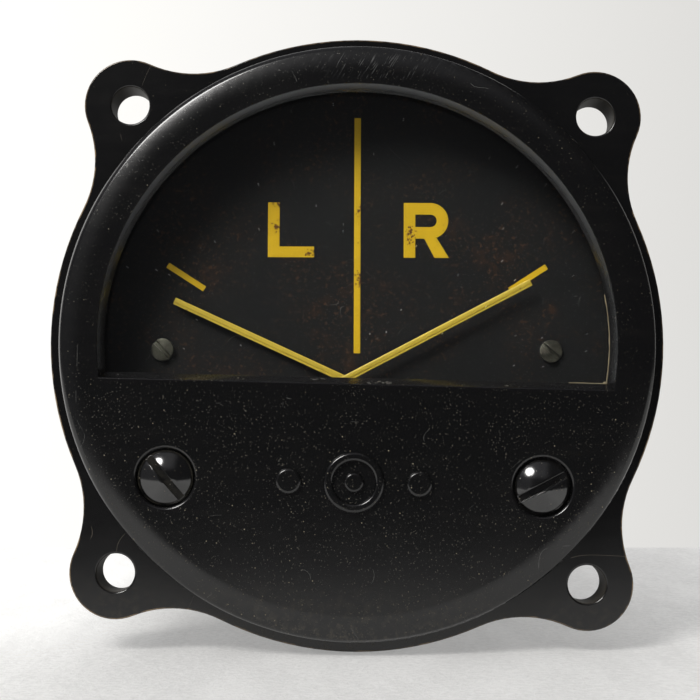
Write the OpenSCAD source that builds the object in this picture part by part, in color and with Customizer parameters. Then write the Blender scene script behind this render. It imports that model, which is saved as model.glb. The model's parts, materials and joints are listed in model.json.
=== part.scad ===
// Aircraft direction finder indicator with two crossed pointers.
// The front faces -Y, +Z is up, and the origin is the centre of the bolt circle on the rear face of the flange.

/* [Flange and lugs] */
// Diameter of the body that passes through the instrument panel
body_d = 78.6; // [70:0.1:90]
// How far the flange stands out beyond the body
flange_rim = 1.85; // [1.6:0.05:2.4]
// Distance from the flange's edge out to the mounting holes' centres
lug_reach = 3.3; // [3:0.05:5]
// Diameter of each mounting hole
lug_hole = 5.1; // [4:0.1:6]
// Radius of the rounded end of each lug
lug_tip_r = 6.2; // [5.2:0.1:7]
// Radius of the hollow that runs from each lug into the flange
lug_fillet_r = 14.4; // [12:0.1:16]
// Thickness of the flange
flange_t = 6.35; // [5:0.05:8]

/* [Front moulding] */
// How far the raised front stands out beyond the body
bezel_rim = 0.25; // [0.1:0.05:0.5]
// Height of the raised front above the flange
bezel_h = 4.25; // [3.8:0.05:6]
// Radius of the shoulder round the raised front
shoulder_r = 1; // [0.6:0.1:2]
// Width of the edge of the raised front that curves gently down to the shoulder
crown_w = 3.6; // [2.6:0.1:3.8]
// How far that edge curves down
crown_h = 0.5; // [0.2:0.05:0.6]
// Radius of the fillet between the raised front and the flange
root_r = 0.4; // [0.3:0.1:1]
// Thickness of the solid panel below the window
panel_t = 4.2; // [4:0.1:5]
// Wall of the body
body_wall = 3; // [2.6:0.1:3.4]
// Length of the moulding's skirt behind the flange
skirt_l = 8.5; // [7:0.1:10]
// Height of the small raised ornament on the panel
relief_h = 0.8; // [0.4:0.1:1.2]
// Diameter of the ring in the middle of the ornament
relief_d = 8; // [6:0.1:9]

/* [Window] */
// Width of the raised front from its edge to the window
front_w = 5.95; // [5.7:0.05:7.5]
// How far the window's straight edge lies below the centre
window_drop = 4.75; // [3:0.05:5.5]
// Width of the bevel round the curved edge of the window
bevel_w = 0.8; // [0.7:0.1:1.6]
// Width of the bevel along the straight edge
sill_bevel = 0.9; // [0.6:0.1:1.4]
// Depth of the bevel
bevel_h = 1.8; // [1:0.1:1.8]
// Thickness of the window glass
glass_t = 2; // [1.5:0.1:2]
// How far the glass runs under the edge of the window
glass_lap = 1.4; // [1:0.1:1.4]
// Width of the sealing compound round the glass
seal_w = 0.3; // [0.2:0.05:0.4]
// Thickness of the ring that keeps the glass in
retainer_t = 1; // [0.6:0.1:1.2]

/* [Dial] */
// Depth of the dial's face behind the front face
dial_depth = 11.1; // [10.6:0.05:11.4]
// Thickness of the dial plate
dial_t = 0.8; // [0.5:0.1:1]
// Height of the letters
letter_h = 7.6; // [6:0.1:9]
// Height of the letters' feet above the centre
letter_rise = 12.2; // [8:0.1:16]
// Distance of the left letter's outer edge from the centre line
left_letter_x = 12.35; // [11:0.05:16]
// Distance of the right letter's inner edge from the centre line
right_letter_x = 6.42; // [3:0.02:10]
// Width of the centre line
line_w = 0.88; // [0.5:0.02:1.2]
// Distance of the centre line's top below the dial's edge
line_gap = 4; // [3:0.05:12]
// Length of each short mark
mark_l = 6.05; // [4:0.05:7]
// Width of each short mark
mark_w = 0.78; // [0.5:0.02:1]
// Thickness of the yellow paint
paint_t = 0.06; // [0.04:0.01:0.12]
// How far the chassis has crept round in the case, in degrees
chassis_turn = 1.2; // [0:0.1:1.3]

/* [Movements] */
// Distance of each pointer's pivot from the wall of the case
pivot_in = 9.417; // [9.2:0.05:9.7]
// Angle of each pivot below the horizontal, seen from the middle
pivot_angle = 35.08; // [34.6:0.1:35.6]
// How far each pointer reaches beyond the other one's pivot
pointer_over = 7.7; // [1:0.1:8]
// Width of each pointer at its tip
pointer_tip_w = 0.95; // [0.7:0.05:1.1]
// Thickness of each pointer
pointer_t = 0.3; // [0.2:0.05:0.4]
// Gap between the dial and the front pointer, which is the left one
left_pointer_gap = 2.1; // [2:0.05:2.15]
// Gap between the dial and the rear pointer, which is the right one
right_pointer_gap = 1.1; // [0.9:0.05:1.2]
// Angle of the left pointer above the horizontal at rest
left_rest = 27.8; // [23:0.1:35]
// Angle of the right pointer above the horizontal at rest
right_rest = 24.5; // [23:0.1:35]
// Lowest angle of either pointer
pointer_low = 22.5; // [20:0.5:23]
// Highest angle of either pointer
pointer_high = 64.3; // [55:0.1:65]
// Diameter of each armature core
core_d = 8.6; // [8:0.1:8.6]
// Radial gap between the core and the moving coil
coil_gap = 0.4; // [0.3:0.05:0.45]
// Thickness of the coil's winding
coil_t = 0.8; // [0.6:0.05:0.9]
// Width of the coil
coil_w = 2; // [1.4:0.1:2.2]
// Thickness of each leg of a magnet
magnet_leg = 3; // [2.4:0.1:3]
// Thickness of the chassis plate
chassis_t = 1.6; // [1.2:0.1:1.8]
// Length of the posts between the dial and the chassis plate
dial_post_l = 12.3; // [12.1:0.1:13]

/* [Zero adjusters] */
// Distance of each adjuster outwards from the pivot
adjuster_out = 2.8; // [2.4:0.05:3.2]
// Distance of each adjuster below the pivot
adjuster_low = 3.1; // [2.8:0.05:3.4]
// Diameter of the domed head
adjuster_head = 7.25; // [6.4:0.05:7.6]
// Diameter of the adjuster's shaft
adjuster_shaft = 3.4; // [3:0.1:3.6]
// Distance of the adjuster's pin from its axis
adjuster_throw = 0.8; // [0.5:0.05:0.9]
// Diameter of the adjuster's pin
adjuster_pin = 1; // [0.8:0.05:1.1]
// Angle of the left adjuster's slot
left_slot = -49.5; // [-90:0.5:90]
// Angle of the right adjuster's slot
right_slot = 29; // [-90:0.5:90]

/* [Rear case] */
// Depth of the case behind the flange
case_depth = 52.3; // [48:0.1:60]
// Thickness of the case gasket
gasket_t = 0.5; // [0.4:0.1:0.8]
// Diameter of the case screws
case_screw = 3; // [2.6:0.1:3.2]
// Distance between the terminals
terminal_pitch = 13; // [12:0.1:14]
// Distance of the terminals below the centre
terminal_drop = 15; // [10:0.1:17]
// Diameter of the terminal studs
terminal_d = 3.6; // [3:0.1:4]
// Length of the terminal studs behind the case
terminal_l = 12; // [9:0.1:14]
// Diameter of the lead wires
wire_d = 1.2; // [0.8:0.1:1.4]

/* [Hidden] */
$fn = 96;

BLACK = [0.05, 0.05, 0.055];
YELLOW = [0.82, 0.71, 0.16];
BRASS = [0.78, 0.62, 0.32];
STEEL = [0.6, 0.6, 0.62];
COPPER = [0.72, 0.36, 0.2];
LEFT = -1;
RIGHT = 1;
SIDES = [LEFT, RIGHT];

// Clearances
part_gap = 0.15;
screw_gap = 0.05;
running_gap = 0.05;
cut = 0.02;

// Depths, from the front face backwards
front_y = -(flange_t + bezel_h);
lip_y = front_y + bevel_h;
panel_y = front_y + panel_t;
glass_y = panel_y - glass_t;
dial_y = front_y + dial_depth;
dial_rear_y = dial_y + dial_t;
chassis_y = dial_rear_y + dial_post_l;
chassis_rear_y = chassis_y + chassis_t;
gasket_y = skirt_l;
case_y = gasket_y + gasket_t;
case_floor_y = case_depth - body_wall;

// Front moulding
body_r = body_d / 2;
flange_r = body_r + flange_rim;
bezel_r = body_r + bezel_rim;
flat_r = bezel_r - crown_w;
crown_r = (crown_w * crown_w + crown_h * crown_h) / (2 * crown_h);
shoulder_drop = crown_r - sqrt(pow(crown_r - shoulder_r, 2) - pow(crown_w - shoulder_r, 2));
tangent_x = (crown_w - shoulder_r) * crown_r / (crown_r - shoulder_r);
bolt_r = flange_r + lug_reach;
cavity_r = body_r - body_wall;
window_r = bezel_r - front_w;
glass_r = window_r + glass_lap;
glass_drop = window_drop + glass_lap;
lug_angles = [45, 135, 225, 315];
relief_pitch = 8.6;
relief_ring_w = 1.2;
side_stud_d = 3.4;
root_lap = 0.02;

// Case screws, and the bosses that hold them
case_screw_angles = [10, 90, 170, 270];
boss_r = 3.5;
boss_at = cavity_r - boss_r + 0.6;
boss_front_y = dial_rear_y + 0.5;
insert_d = case_screw + 1.8;
insert_l = 5;
case_head_d = case_screw + 3;
case_head_t = 2;

// Glass retainer
retainer_r = cavity_r - 0.4;
retainer_w = 1.5;
retainer_bar_top = window_drop + 0.6;
retainer_bar_low = glass_drop + 3.4;
retainer_screw_out = retainer_r - 4.7;
retainer_screw_x = [-retainer_screw_out, -10, 10, retainer_screw_out];
retainer_screw_z = -(glass_drop + 1.9);
retainer_screw = 2;
retainer_tap_l = 2.6;
retainer_head_t = 0.8;
retainer_head_d = 3.6;
retainer_slot = 0.4;
retainer_slot_turn = 5;

// Dial and its fixings, in the chassis's own frame
dial_r = cavity_r - 0.7;
line_low = -1.05;
line_l = dial_r - line_gap - line_low;
mark_in = 14.55;
mark_z = 7.75;
mark_at = [dial_r - mark_in, mark_z];
mark_angle = 32.7;
dial_post_d = 4.4;
dial_screw = 1.8;
dial_head_d = 3.1;
dial_head_t = 0.9;

// Chassis pillars, in the case's frame
mid_pillar_in = 16.3;
low_pillar_in = 3.6;
low_pillar_angles = [-113.5, -66.5];
low_pillars = concat(
    [[0, mid_pillar_in - cavity_r]],
    [for (angle = low_pillar_angles) at_angle(cavity_r - low_pillar_in, angle)]
);
high_pillars = [for (angle = [130, 50]) at_angle(cavity_r - boss_r + 0.2, angle)];
pillar_d = 5.6;
chassis_screw = 2.4;
chassis_slack = 1.7;
chassis_head_t = 1.4;
chassis_washer_t = 0.4;
pillar_tap_l = 4.5;
low_stud_l = 2.5;
high_stud_l = 3.8;

// Pivots and adjusters
pivot_r = cavity_r - pivot_in;
pivot_x = pivot_r * cos(pivot_angle);
pivot_drop = pivot_r * sin(pivot_angle);
adjuster_x = pivot_x + adjuster_out;
adjuster_drop = pivot_drop + adjuster_low;
dial_over_pivot = 8.25;
dial_low = dial_over_pivot - pivot_drop;
pointer_l = 2 * pivot_x + pointer_over;

// Movement, in its own frame: x outwards from the centre, y across the magnet
movement_angle = atan2(-pivot_drop, pivot_x);
coil_in = core_d / 2 + coil_gap;
coil_out = coil_in + coil_t;
pole_gap = 0.4;
pole_t = 3.1;
pole_split = 5.2;
pole_r = coil_out + pole_gap;
magnet_in = pole_r + pole_t;
magnet_out = magnet_in + magnet_leg;
magnet_open = 4.6;
magnet_from_middle = 9.18;
magnet_back = magnet_from_middle - pivot_r;
magnet_bend = 5;
magnet_h = 10.6;
magnet_y = chassis_y - magnet_h;
core_inset = 0.6;
core_y = magnet_y + core_inset;
core_rear_y = chassis_y - core_inset;
coil_over = 1.2;
coil_y = magnet_y - coil_over;
coil_rear_y = chassis_y + coil_over;
coil_end = 1;
bracket_t = 1;
bracket_w = 5;
bracket_screw_t = 7.3;
bracket_tap_l = 2.6;
magnet_mid_y = (magnet_y + chassis_y) / 2;
magnet_screw = 2;
magnet_screw_at = [2.8, 7.4];
dial_post_inward = 4.63;
dial_post_over = 2.77;
dial_post_at = [-dial_post_inward, magnet_out + dial_post_over];
tap_l = 4;
tap_spare = 0.2;

// Bridges
bridge_reach = 7;
bridge_y = magnet_y - bridge_reach;
bridge_t = 1.1;
bridge_rear_y = bridge_y + bridge_t;
bridge_post = 7.6;
bridge_post_d = 3;
bridge_w = 4.4;
bridge_screw = 1.6;
bridge_head_d = 2.8;
bridge_head_t = 0.8;
rear_post = magnet_in + 1.2;
rear_post_d = 3.4;
bush_t = 0.8;
rear_bridge_y = chassis_rear_y + 3.4;
rear_bridge_rear_y = rear_bridge_y + bridge_t;
jewel_d = 3.2;
jewel_head_d = 4.4;
jewel_head_t = 0.7;
lever_t = 0.4;
lever_y = bridge_y - lever_t - 0.1;
jewel_head_y = lever_y - 0.1;

// Staff and hairsprings
staff_d = 0.9;
tip_l = 0.6;
tip_d = 0.16;
collet_d = 2.2;
spring_w = 0.35;
spring_t = 0.12;
spring_in = collet_d / 2 + 0.03 + spring_t / 2;
spring_step = 0.28;
spring_turns = 7;
spring_out = spring_in + spring_step * (spring_turns - 1);
front_spring_y = bridge_rear_y + 0.35;
rear_spring_y = rear_bridge_y - 1.1;
post_d = 0.8;
post_at = spring_out + spring_t / 2 + post_d / 2;

// Pointers
pointer_hub = 2.4;
pointer_root_w = 1;
tail_l = 8;
side_arm_l = 4.6;
arm_w = 0.7;
weight_d = 2.9;
weight_l = 2.9;
side_weight_d = 1.4;
side_weight_l = 1.4;

// Stops on the front bridges, which the pointers' tails come up against
stop_r = 3.9;
stop_d = 0.8;
stop_arm_w = 1.3;
stop_gap = 0.05;
stop_spread = asin((arm_w / 2 + stop_d / 2 + stop_gap) / stop_r);
stop_angles = [-pointer_low - movement_angle + stop_spread, -pointer_high - movement_angle - stop_spread];

// Zero adjusters and levers
recess_gap = 0.25;
recess_d = adjuster_head + 2 * recess_gap;
recess_y = front_y + 1.9;
dome_y = front_y - 0.6;
dome_h = 1.2;
slot_w = 1;
slot_depth = 1.1;
washer_t = 0.4;
clip_t = 0.5;
clip_slot = 2.2;
clip_y = panel_y + washer_t + 0.08;
clip_d = 5.6;
groove_d = adjuster_shaft - 0.6;
shaft_end_y = clip_y + clip_t + 0.2;
pin_end_y = lever_y + lever_t + 0.3;
fork_gap = 0.1;
fork_w = 2.8;
lever_ring = jewel_d + 2;

// Rear terminals
terminal_nut = terminal_d + 2.8;
terminal_nut_t = 2.4;
terminal_washer_t = 0.8;
terminal_end_d = terminal_d - 0.4;
terminal_end_gap = 0.3;
tag_t = 0.5;
tag_w = 3;
tag_l = 9;
tag_eye = 7.4;
stud_end = 1.4;
thumb_d = 8;
thumb_t = 3.6;
thumb_collar_t = 0.8;
thumb_collar_w = 1.2;
thumb_y = case_depth + terminal_washer_t + terminal_nut_t + part_gap;
thumb_end_y = thumb_y + thumb_t + thumb_collar_t;
wire_rings = 16;

function at_angle(r, a) = [r * cos(a), r * sin(a)];
function turned(p) = [p[0] * cos(chassis_turn) - p[1] * sin(chassis_turn),
                      p[0] * sin(chassis_turn) + p[1] * cos(chassis_turn)];
function pivot_at(side) = turned([side * pivot_x, -pivot_drop]);
function adjuster_at(side) = [side * adjuster_x, -adjuster_drop];
function lever_reach(side) = norm(adjuster_at(side) - pivot_at(side));
function lever_angle(side) = atan2(adjuster_at(side)[1] - pivot_at(side)[1],
                                   adjuster_at(side)[0] - pivot_at(side)[0]);
function pointer_y(side) = dial_y - pointer_t - (side == LEFT ? left_pointer_gap : right_pointer_gap);
function rest_angle(side) = side == LEFT ? left_rest : right_rest;

// Frames. A flat child is drawn as seen from the front, with x to the right and y up
module plate(from, to)
    translate([0, to, 0])
        rotate([90, 0, 0])
            linear_extrude(to - from)
                children();

module rod(from, to, d)
    plate(from, to)
        circle(d = d);

module cone(from, to, d_from, d_to)
    translate([0, to, 0])
        rotate([90, 0, 0])
            cylinder(h = to - from, d1 = d_to, d2 = d_from);

module at(p)
    translate([p[0], 0, p[1]])
        children();

module chassis_frame()
    rotate([0, -chassis_turn, 0])
        children();

module movement_frame(side)
    chassis_frame()
        mirror([side == LEFT ? 1 : 0, 0, 0])
            at([pivot_x, -pivot_drop])
                children();

module magnet_frame(side)
    movement_frame(side)
        rotate([0, -movement_angle, 0])
            children();

// The direction of the pointer of a right-hand movement, drawn along +x
module pointer_frame(side)
    movement_frame(side)
        rotate([0, rest_angle(side) - 180, 0])
            children();

module slotted_head(from, to, d, slot, depth, angle)
    difference() {
        rod(from, to, d);
        rotate([0, -angle, 0])
            translate([-d, from - 1, -slot / 2])
                cube([2 * d, depth + 1, slot]);
    }

module hexagon(d)
    circle(d = d / cos(30), $fn = 6);

// Outlines
module lug_outline(angle) {
    side_a = flange_r + lug_fillet_r;
    side_b = lug_tip_r + lug_fillet_r;
    spread = acos((bolt_r ^ 2 + side_a ^ 2 - side_b ^ 2) / (2 * bolt_r * side_a));
    rotate(angle) {
        translate([bolt_r, 0])
            circle(lug_tip_r);
        for (s = [-1, 1])
            difference() {
                polygon([[0, 0], [bolt_r, 0], at_angle(side_a, s * spread)]);
                translate(at_angle(side_a, s * spread))
                    circle(lug_fillet_r);
            }
    }
}

module flange_outline() {
    circle(flange_r);
    for (angle = lug_angles)
        lug_outline(angle);
}

module above(z)
    translate([-body_d, z])
        square([2 * body_d, body_d]);

module d_outline(r, drop)
    intersection() {
        circle(r);
        above(-drop);
    }

module boss_outlines()
    for (angle = case_screw_angles)
        translate(at_angle(boss_at, angle))
            circle(boss_r);

module rounded(x0, x1, half, r) {
    translate([x0 + r, -half])
        square([x1 - x0 - r, 2 * half]);
    translate([x0, -half + r])
        square([r + 1, 2 * (half - r)]);
    for (s = [-1, 1])
        translate([x0 + r, s * (half - r)])
            circle(r);
}

// Front moulding: flange, raised front, panel and skirt in one piece of black phenolic
module bezel_solid() {
    rod(front_y + shoulder_drop, -flange_t + 1, 2 * bezel_r);
    rod(front_y, -flange_t, 2 * flat_r);
    translate([0, front_y + crown_r, 0])
        rotate([90, 0, 0])
            rotate_extrude()
                intersection() {
                    translate([flat_r, 0])
                        circle(crown_r);
                    translate([flat_r - 1, crown_r - shoulder_drop - 0.5])
                        square([1 + tangent_x, shoulder_drop + 0.5]);
                }
    translate([0, front_y + shoulder_drop, 0])
        rotate([90, 0, 0])
            rotate_extrude()
                translate([bezel_r - shoulder_r, 0])
                    circle(shoulder_r);
    translate([0, -flange_t, 0])
        rotate([90, 0, 0])
            rotate_extrude()
                translate([bezel_r, 0])
                    difference() {
                        translate([-root_lap - 0.5, -root_lap - 0.5])
                            square(root_r + 0.5);
                        translate([root_r - root_lap, root_r - root_lap])
                            circle(root_r);
                    }
}

module window_cut() {
    slope = sill_bevel / bevel_h;
    intersection() {
        cone(front_y - 1, lip_y, 2 * (window_r + bevel_w * (bevel_h + 1) / bevel_h), 2 * window_r);
        translate([-body_d / 2, 0, 0])
            rotate([90, 0, 90])
                linear_extrude(body_d)
                    polygon([
                        [front_y - 1, -window_drop - slope * (bevel_h + 1)],
                        [lip_y, -window_drop],
                        [lip_y, body_d],
                        [front_y - 1, body_d]
                    ]);
    }
    plate(lip_y - cut, glass_y + cut)
        d_outline(window_r, window_drop);
}

module ornament() {
    at([0, -adjuster_drop]) {
        difference() {
            rod(front_y - relief_h, front_y + 0.5, relief_d);
            rod(front_y - relief_h - 1, front_y, relief_d - 2 * relief_ring_w);
        }
        rod(front_y - relief_h, front_y + 0.5, relief_d / 3);
    }
    for (s = SIDES)
        at([s * relief_pitch, -adjuster_drop])
            rod(front_y - relief_h, front_y + 0.5, side_stud_d);
}

module front_moulding()
    color(BLACK)
        difference() {
            union() {
                difference() {
                    union() {
                        plate(-flange_t, 0)
                            flange_outline();
                        bezel_solid();
                        rod(-flange_t, skirt_l, body_d);
                    }
                    rod(panel_y, skirt_l + 1, 2 * cavity_r);
                    plate(glass_y, panel_y + cut)
                        d_outline(glass_r + seal_w, glass_drop + seal_w);
                    window_cut();
                }
                ornament();
                plate(boss_front_y, skirt_l)
                    intersection() {
                        union() {
                            boss_outlines();
                            for (p = high_pillars)
                                translate(p)
                                    circle(boss_r);
                        }
                        circle(cavity_r + 0.5);
                    }
            }
            for (angle = lug_angles)
                at(at_angle(bolt_r, angle))
                    rod(-flange_t - 1, 1, lug_hole);
            for (angle = case_screw_angles)
                at(at_angle(boss_at, angle))
                    rod(skirt_l - insert_l, skirt_l + 1, insert_d);
            for (s = SIDES)
                at(adjuster_at(s)) {
                    rod(front_y - 1, recess_y, recess_d);
                    rod(front_y, panel_y + 1, adjuster_shaft + 2 * running_gap);
                }
            for (x = retainer_screw_x)
                at([x, retainer_screw_z])
                    rod(panel_y - retainer_tap_l, panel_y + 1, retainer_screw + 2 * screw_gap);
            for (p = low_pillars)
                at(p)
                    rod(panel_y - low_stud_l - 0.1, panel_y + 1, chassis_screw + 2 * screw_gap);
            for (p = high_pillars)
                at(p)
                    rod(skirt_l - high_stud_l - tap_spare, skirt_l + 1, chassis_screw + 2 * screw_gap);
        }

// Glass, its seal and the ring that keeps it in
module window_glass()
    color([0.85, 0.9, 0.9, 0.3])
        plate(glass_y, panel_y)
            d_outline(glass_r, glass_drop);

module glass_seal()
    color([0.55, 0.42, 0.25])
        plate(glass_y, panel_y)
            difference() {
                d_outline(glass_r + seal_w, glass_drop + seal_w);
                d_outline(glass_r, glass_drop);
            }

module glass_retainer()
    color(BLACK)
        plate(panel_y, panel_y + retainer_t)
            difference() {
                d_outline(retainer_r, retainer_bar_low);
                d_outline(retainer_r - retainer_w, retainer_bar_top);
                for (x = retainer_screw_x)
                    translate([x, retainer_screw_z])
                        circle(d = retainer_screw + 0.2);
            }

module retainer_screws()
    color(BRASS)
        for (x = retainer_screw_x)
            at([x, retainer_screw_z])
                mirror([0, 1, 0])
                    translate([0, -panel_y - retainer_t, 0]) {
                        slotted_head(
                            -retainer_head_t, 0, retainer_head_d,
                            retainer_slot, retainer_slot, retainer_slot_turn * x
                        );
                        rod(0, retainer_t + retainer_tap_l - tap_spare, retainer_screw);
                    }

// Dial
module dial_posts_outline()
    for (s = SIDES)
        mirror([s == LEFT ? 1 : 0, 0])
            translate([pivot_x, -pivot_drop])
                rotate(movement_angle)
                    translate(dial_post_at)
                        children();

module at_dial_post(side)
    magnet_frame(side)
        at(dial_post_at)
            children();

module dial_plate()
    color([0.09, 0.085, 0.08])
        chassis_frame()
            plate(dial_y, dial_rear_y)
                difference() {
                    d_outline(dial_r, -dial_low);
                    dial_posts_outline()
                        circle(d = dial_screw + 0.4);
                }

module letter_l(h) {
    square([0.21 * h, h]);
    square([0.84 * h, 0.195 * h]);
}

module letter_r(h) {
    bowl_r = 0.325 * h;
    bar = 0.21 * h;
    square([bar, h]);
    difference() {
        union() {
            translate([0, h - 2 * bowl_r])
                square([0.81 * h - bowl_r, 2 * bowl_r]);
            translate([0.81 * h - bowl_r, h - bowl_r])
                circle(bowl_r);
        }
        translate([bar, h - 2 * bowl_r + bar])
            square([0.81 * h - bowl_r - bar, 2 * (bowl_r - bar)]);
        translate([0.81 * h - bowl_r, h - bowl_r])
            circle(bowl_r - bar);
    }
    polygon([[0.37 * h, 0.36 * h], [0.6 * h, 0.36 * h], [0.82 * h, 0], [0.56 * h, 0]]);
}

module dial_markings()
    color(YELLOW)
        chassis_frame()
            plate(dial_y - paint_t, dial_y) {
                translate([-line_w / 2, line_low])
                    square([line_w, line_l]);
                translate([-left_letter_x, letter_rise])
                    letter_l(letter_h);
                translate([right_letter_x, letter_rise])
                    letter_r(letter_h);
                for (s = [0, 1])
                    mirror([s, 0])
                        translate(mark_at)
                            rotate(mark_angle)
                                translate([0, -mark_w / 2])
                                    square([mark_l, mark_w]);
            }

module dial_screws()
    color(STEEL)
        for (s = SIDES)
            at_dial_post(s)
                rotate([0, movement_angle, 0]) {
                    slotted_head(dial_y - dial_head_t, dial_y, dial_head_d, 0.5, 0.5, s == LEFT ? 47 : -40);
                    rod(dial_y, dial_rear_y + pillar_tap_l - 2 * tap_spare, dial_screw);
                }

module dial_posts()
    color(BRASS)
        for (s = SIDES)
            at_dial_post(s)
                difference() {
                    rod(dial_rear_y, chassis_y, dial_post_d);
                    rod(dial_rear_y - 1, dial_rear_y + pillar_tap_l, dial_screw + 2 * screw_gap);
                    rod(chassis_y - pillar_tap_l, chassis_y + 1, chassis_screw + 2 * screw_gap);
                }

// Chassis
module chassis_plate()
    color(BRASS)
        difference() {
            chassis_frame()
                plate(chassis_y, chassis_rear_y)
                    difference() {
                        circle(cavity_r - 0.7);
                        dial_posts_outline()
                            circle(d = chassis_screw + 0.3);
                        for (s = SIDES)
                            mirror([s == LEFT ? 1 : 0, 0])
                                translate([pivot_x, -pivot_drop])
                                    rotate(movement_angle) {
                                        circle(pole_r + 0.3);
                                        for (t = [-1, 1]) {
                                            translate([magnet_screw_at[0], t * magnet_screw_at[1]])
                                                circle(d = magnet_screw + 0.2);
                                            translate([0, t * rear_post])
                                                circle(d = bridge_screw + 2 * screw_gap);
                                        }
                                    }
                    }
            for (angle = case_screw_angles)
                at(at_angle(boss_at, angle))
                    rod(chassis_y - 1, chassis_rear_y + 1, 2 * boss_r + 0.8);
            for (p = concat(low_pillars, high_pillars))
                at(p)
                    rod(chassis_y - 1, chassis_rear_y + 1, chassis_screw + chassis_slack);
        }

module chassis_pillar(from, stud)
    difference() {
        union() {
            rod(from, chassis_y, pillar_d);
            rod(from - stud, from, chassis_screw);
        }
        rod(chassis_y - pillar_tap_l, chassis_y + 1, chassis_screw + 2 * screw_gap);
    }

module chassis_pillars()
    color(BRASS) {
        for (p = low_pillars)
            at(p)
                chassis_pillar(panel_y, low_stud_l);
        for (p = high_pillars)
            at(p)
                chassis_pillar(skirt_l, high_stud_l);
    }

module chassis_screw_solid()
    translate([0, chassis_rear_y, 0])
        mirror([0, 1, 0]) {
            slotted_head(
                -chassis_washer_t - chassis_head_t, -chassis_washer_t, chassis_screw + 2.2,
                0.6, 0.6, 35
            );
            rod(-chassis_washer_t, 0, chassis_screw + 3.6);
            rod(0, chassis_t + pillar_tap_l - 2 * tap_spare, chassis_screw);
        }

module chassis_screws()
    color(STEEL) {
        for (p = concat(low_pillars, high_pillars))
            at(p)
                chassis_screw_solid();
        for (s = SIDES)
            at_dial_post(s)
                chassis_screw_solid();
    }

// Magnet systems
module magnet(side)
    color([0.35, 0.35, 0.38])
        magnet_frame(side)
            plate(magnet_y, chassis_y)
                difference() {
                    rounded(magnet_back, magnet_open, magnet_out, magnet_bend);
                    rounded(magnet_back + magnet_bend, magnet_open + 1, magnet_in, magnet_bend - 2);
                }

module left_magnet() magnet(LEFT);
module right_magnet() magnet(RIGHT);

module pole_pieces(side)
    color(STEEL)
        magnet_frame(side)
            difference() {
                plate(magnet_y, chassis_y)
                    difference() {
                        translate([-magnet_open, -magnet_in])
                            square([2 * magnet_open, 2 * magnet_in]);
                        circle(pole_r);
                        translate([-magnet_open - 1, -pole_split / 2])
                            square([2 * magnet_open + 2, pole_split]);
                    }
                for (t = [-1, 1]) {
                    at([0, t * bridge_post])
                        rod(magnet_y - 1, magnet_y + tap_l, bridge_screw + 2 * screw_gap);
                    at([magnet_screw_at[0], t * magnet_screw_at[1]])
                        rod(chassis_y - tap_l, chassis_y + 1, magnet_screw + 2 * screw_gap);
                    translate([magnet_open - bracket_tap_l, magnet_mid_y, t * bracket_screw_t])
                        rotate([0, 90, 0])
                            cylinder(h = 3, d = bridge_screw + 2 * screw_gap);
                }
            }

module left_pole_pieces() pole_pieces(LEFT);
module right_pole_pieces() pole_pieces(RIGHT);

module armature_cores()
    color(STEEL)
        for (s = SIDES)
            magnet_frame(s)
                difference() {
                    rod(core_y, core_rear_y, core_d);
                    translate([magnet_open - bracket_tap_l, magnet_mid_y, 0])
                        rotate([0, 90, 0])
                            cylinder(h = 3, d = bridge_screw + 2 * screw_gap);
                }

module core_brackets()
    color(BRASS)
        for (s = SIDES)
            magnet_frame(s)
                difference() {
                    translate([magnet_open, magnet_mid_y - bracket_w / 2, -magnet_in])
                        cube([bracket_t, bracket_w, 2 * magnet_in]);
                    for (t = [-bracket_screw_t, 0, bracket_screw_t])
                        translate([magnet_open - 1, magnet_mid_y, t])
                            rotate([0, 90, 0])
                                cylinder(h = 3, d = bridge_screw + 0.2);
                }

module core_bracket_screws()
    color(STEEL)
        for (s = SIDES)
            magnet_frame(s)
                for (t = [-bracket_screw_t, 0, bracket_screw_t])
                    translate([magnet_open + bracket_t, magnet_mid_y, t])
                        rotate([0, 0, 90]) {
                            slotted_head(-0.7, 0, bridge_head_d, 0.4, 0.4, 30);
                            rod(0, bracket_t + bracket_tap_l - tap_spare, bridge_screw);
                        }

module magnet_screws()
    color(STEEL)
        for (s = SIDES)
            magnet_frame(s)
                for (t = [-1, 1])
                    at([magnet_screw_at[0], t * magnet_screw_at[1]])
                        translate([0, chassis_rear_y, 0])
                            mirror([0, 1, 0]) {
                                slotted_head(-0.9, 0, magnet_screw + 1.4, 0.45, 0.45, 60);
                                rod(0, chassis_t + tap_l - tap_spare, magnet_screw);
                            }

// Bridges and jewel screws
module front_bridge(side)
    color(BRASS)
        magnet_frame(side)
            difference() {
                union() {
                    plate(bridge_y, bridge_rear_y) {
                        translate([-bridge_w / 2, -bridge_post])
                            square([bridge_w, 2 * bridge_post]);
                        circle(2.6);
                        for (t = [-1, 1])
                            translate([0, t * bridge_post])
                                circle(bridge_w / 2);
                        for (angle = stop_angles)
                            rotate(angle) {
                                translate([0, -stop_arm_w / 2])
                                    square([stop_r, stop_arm_w]);
                                translate([stop_r, 0])
                                    circle(d = stop_arm_w);
                            }
                    }
                    for (t = [-1, 1])
                        at([0, t * bridge_post])
                            rod(bridge_y, magnet_y, bridge_post_d);
                    for (angle = stop_angles)
                        at(at_angle(stop_r, angle))
                            rod(bridge_y + bridge_t / 2, pointer_y(side) + pointer_t + 0.2, stop_d);
                }
                rod(bridge_y - 1, bridge_rear_y + 1, jewel_d + 2 * screw_gap);
                for (t = [-1, 1])
                    at([0, t * bridge_post])
                        rod(bridge_y - 1, magnet_y + 1, bridge_screw + 2 * screw_gap);
            }

module left_front_bridge() front_bridge(LEFT);
module right_front_bridge() front_bridge(RIGHT);

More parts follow.
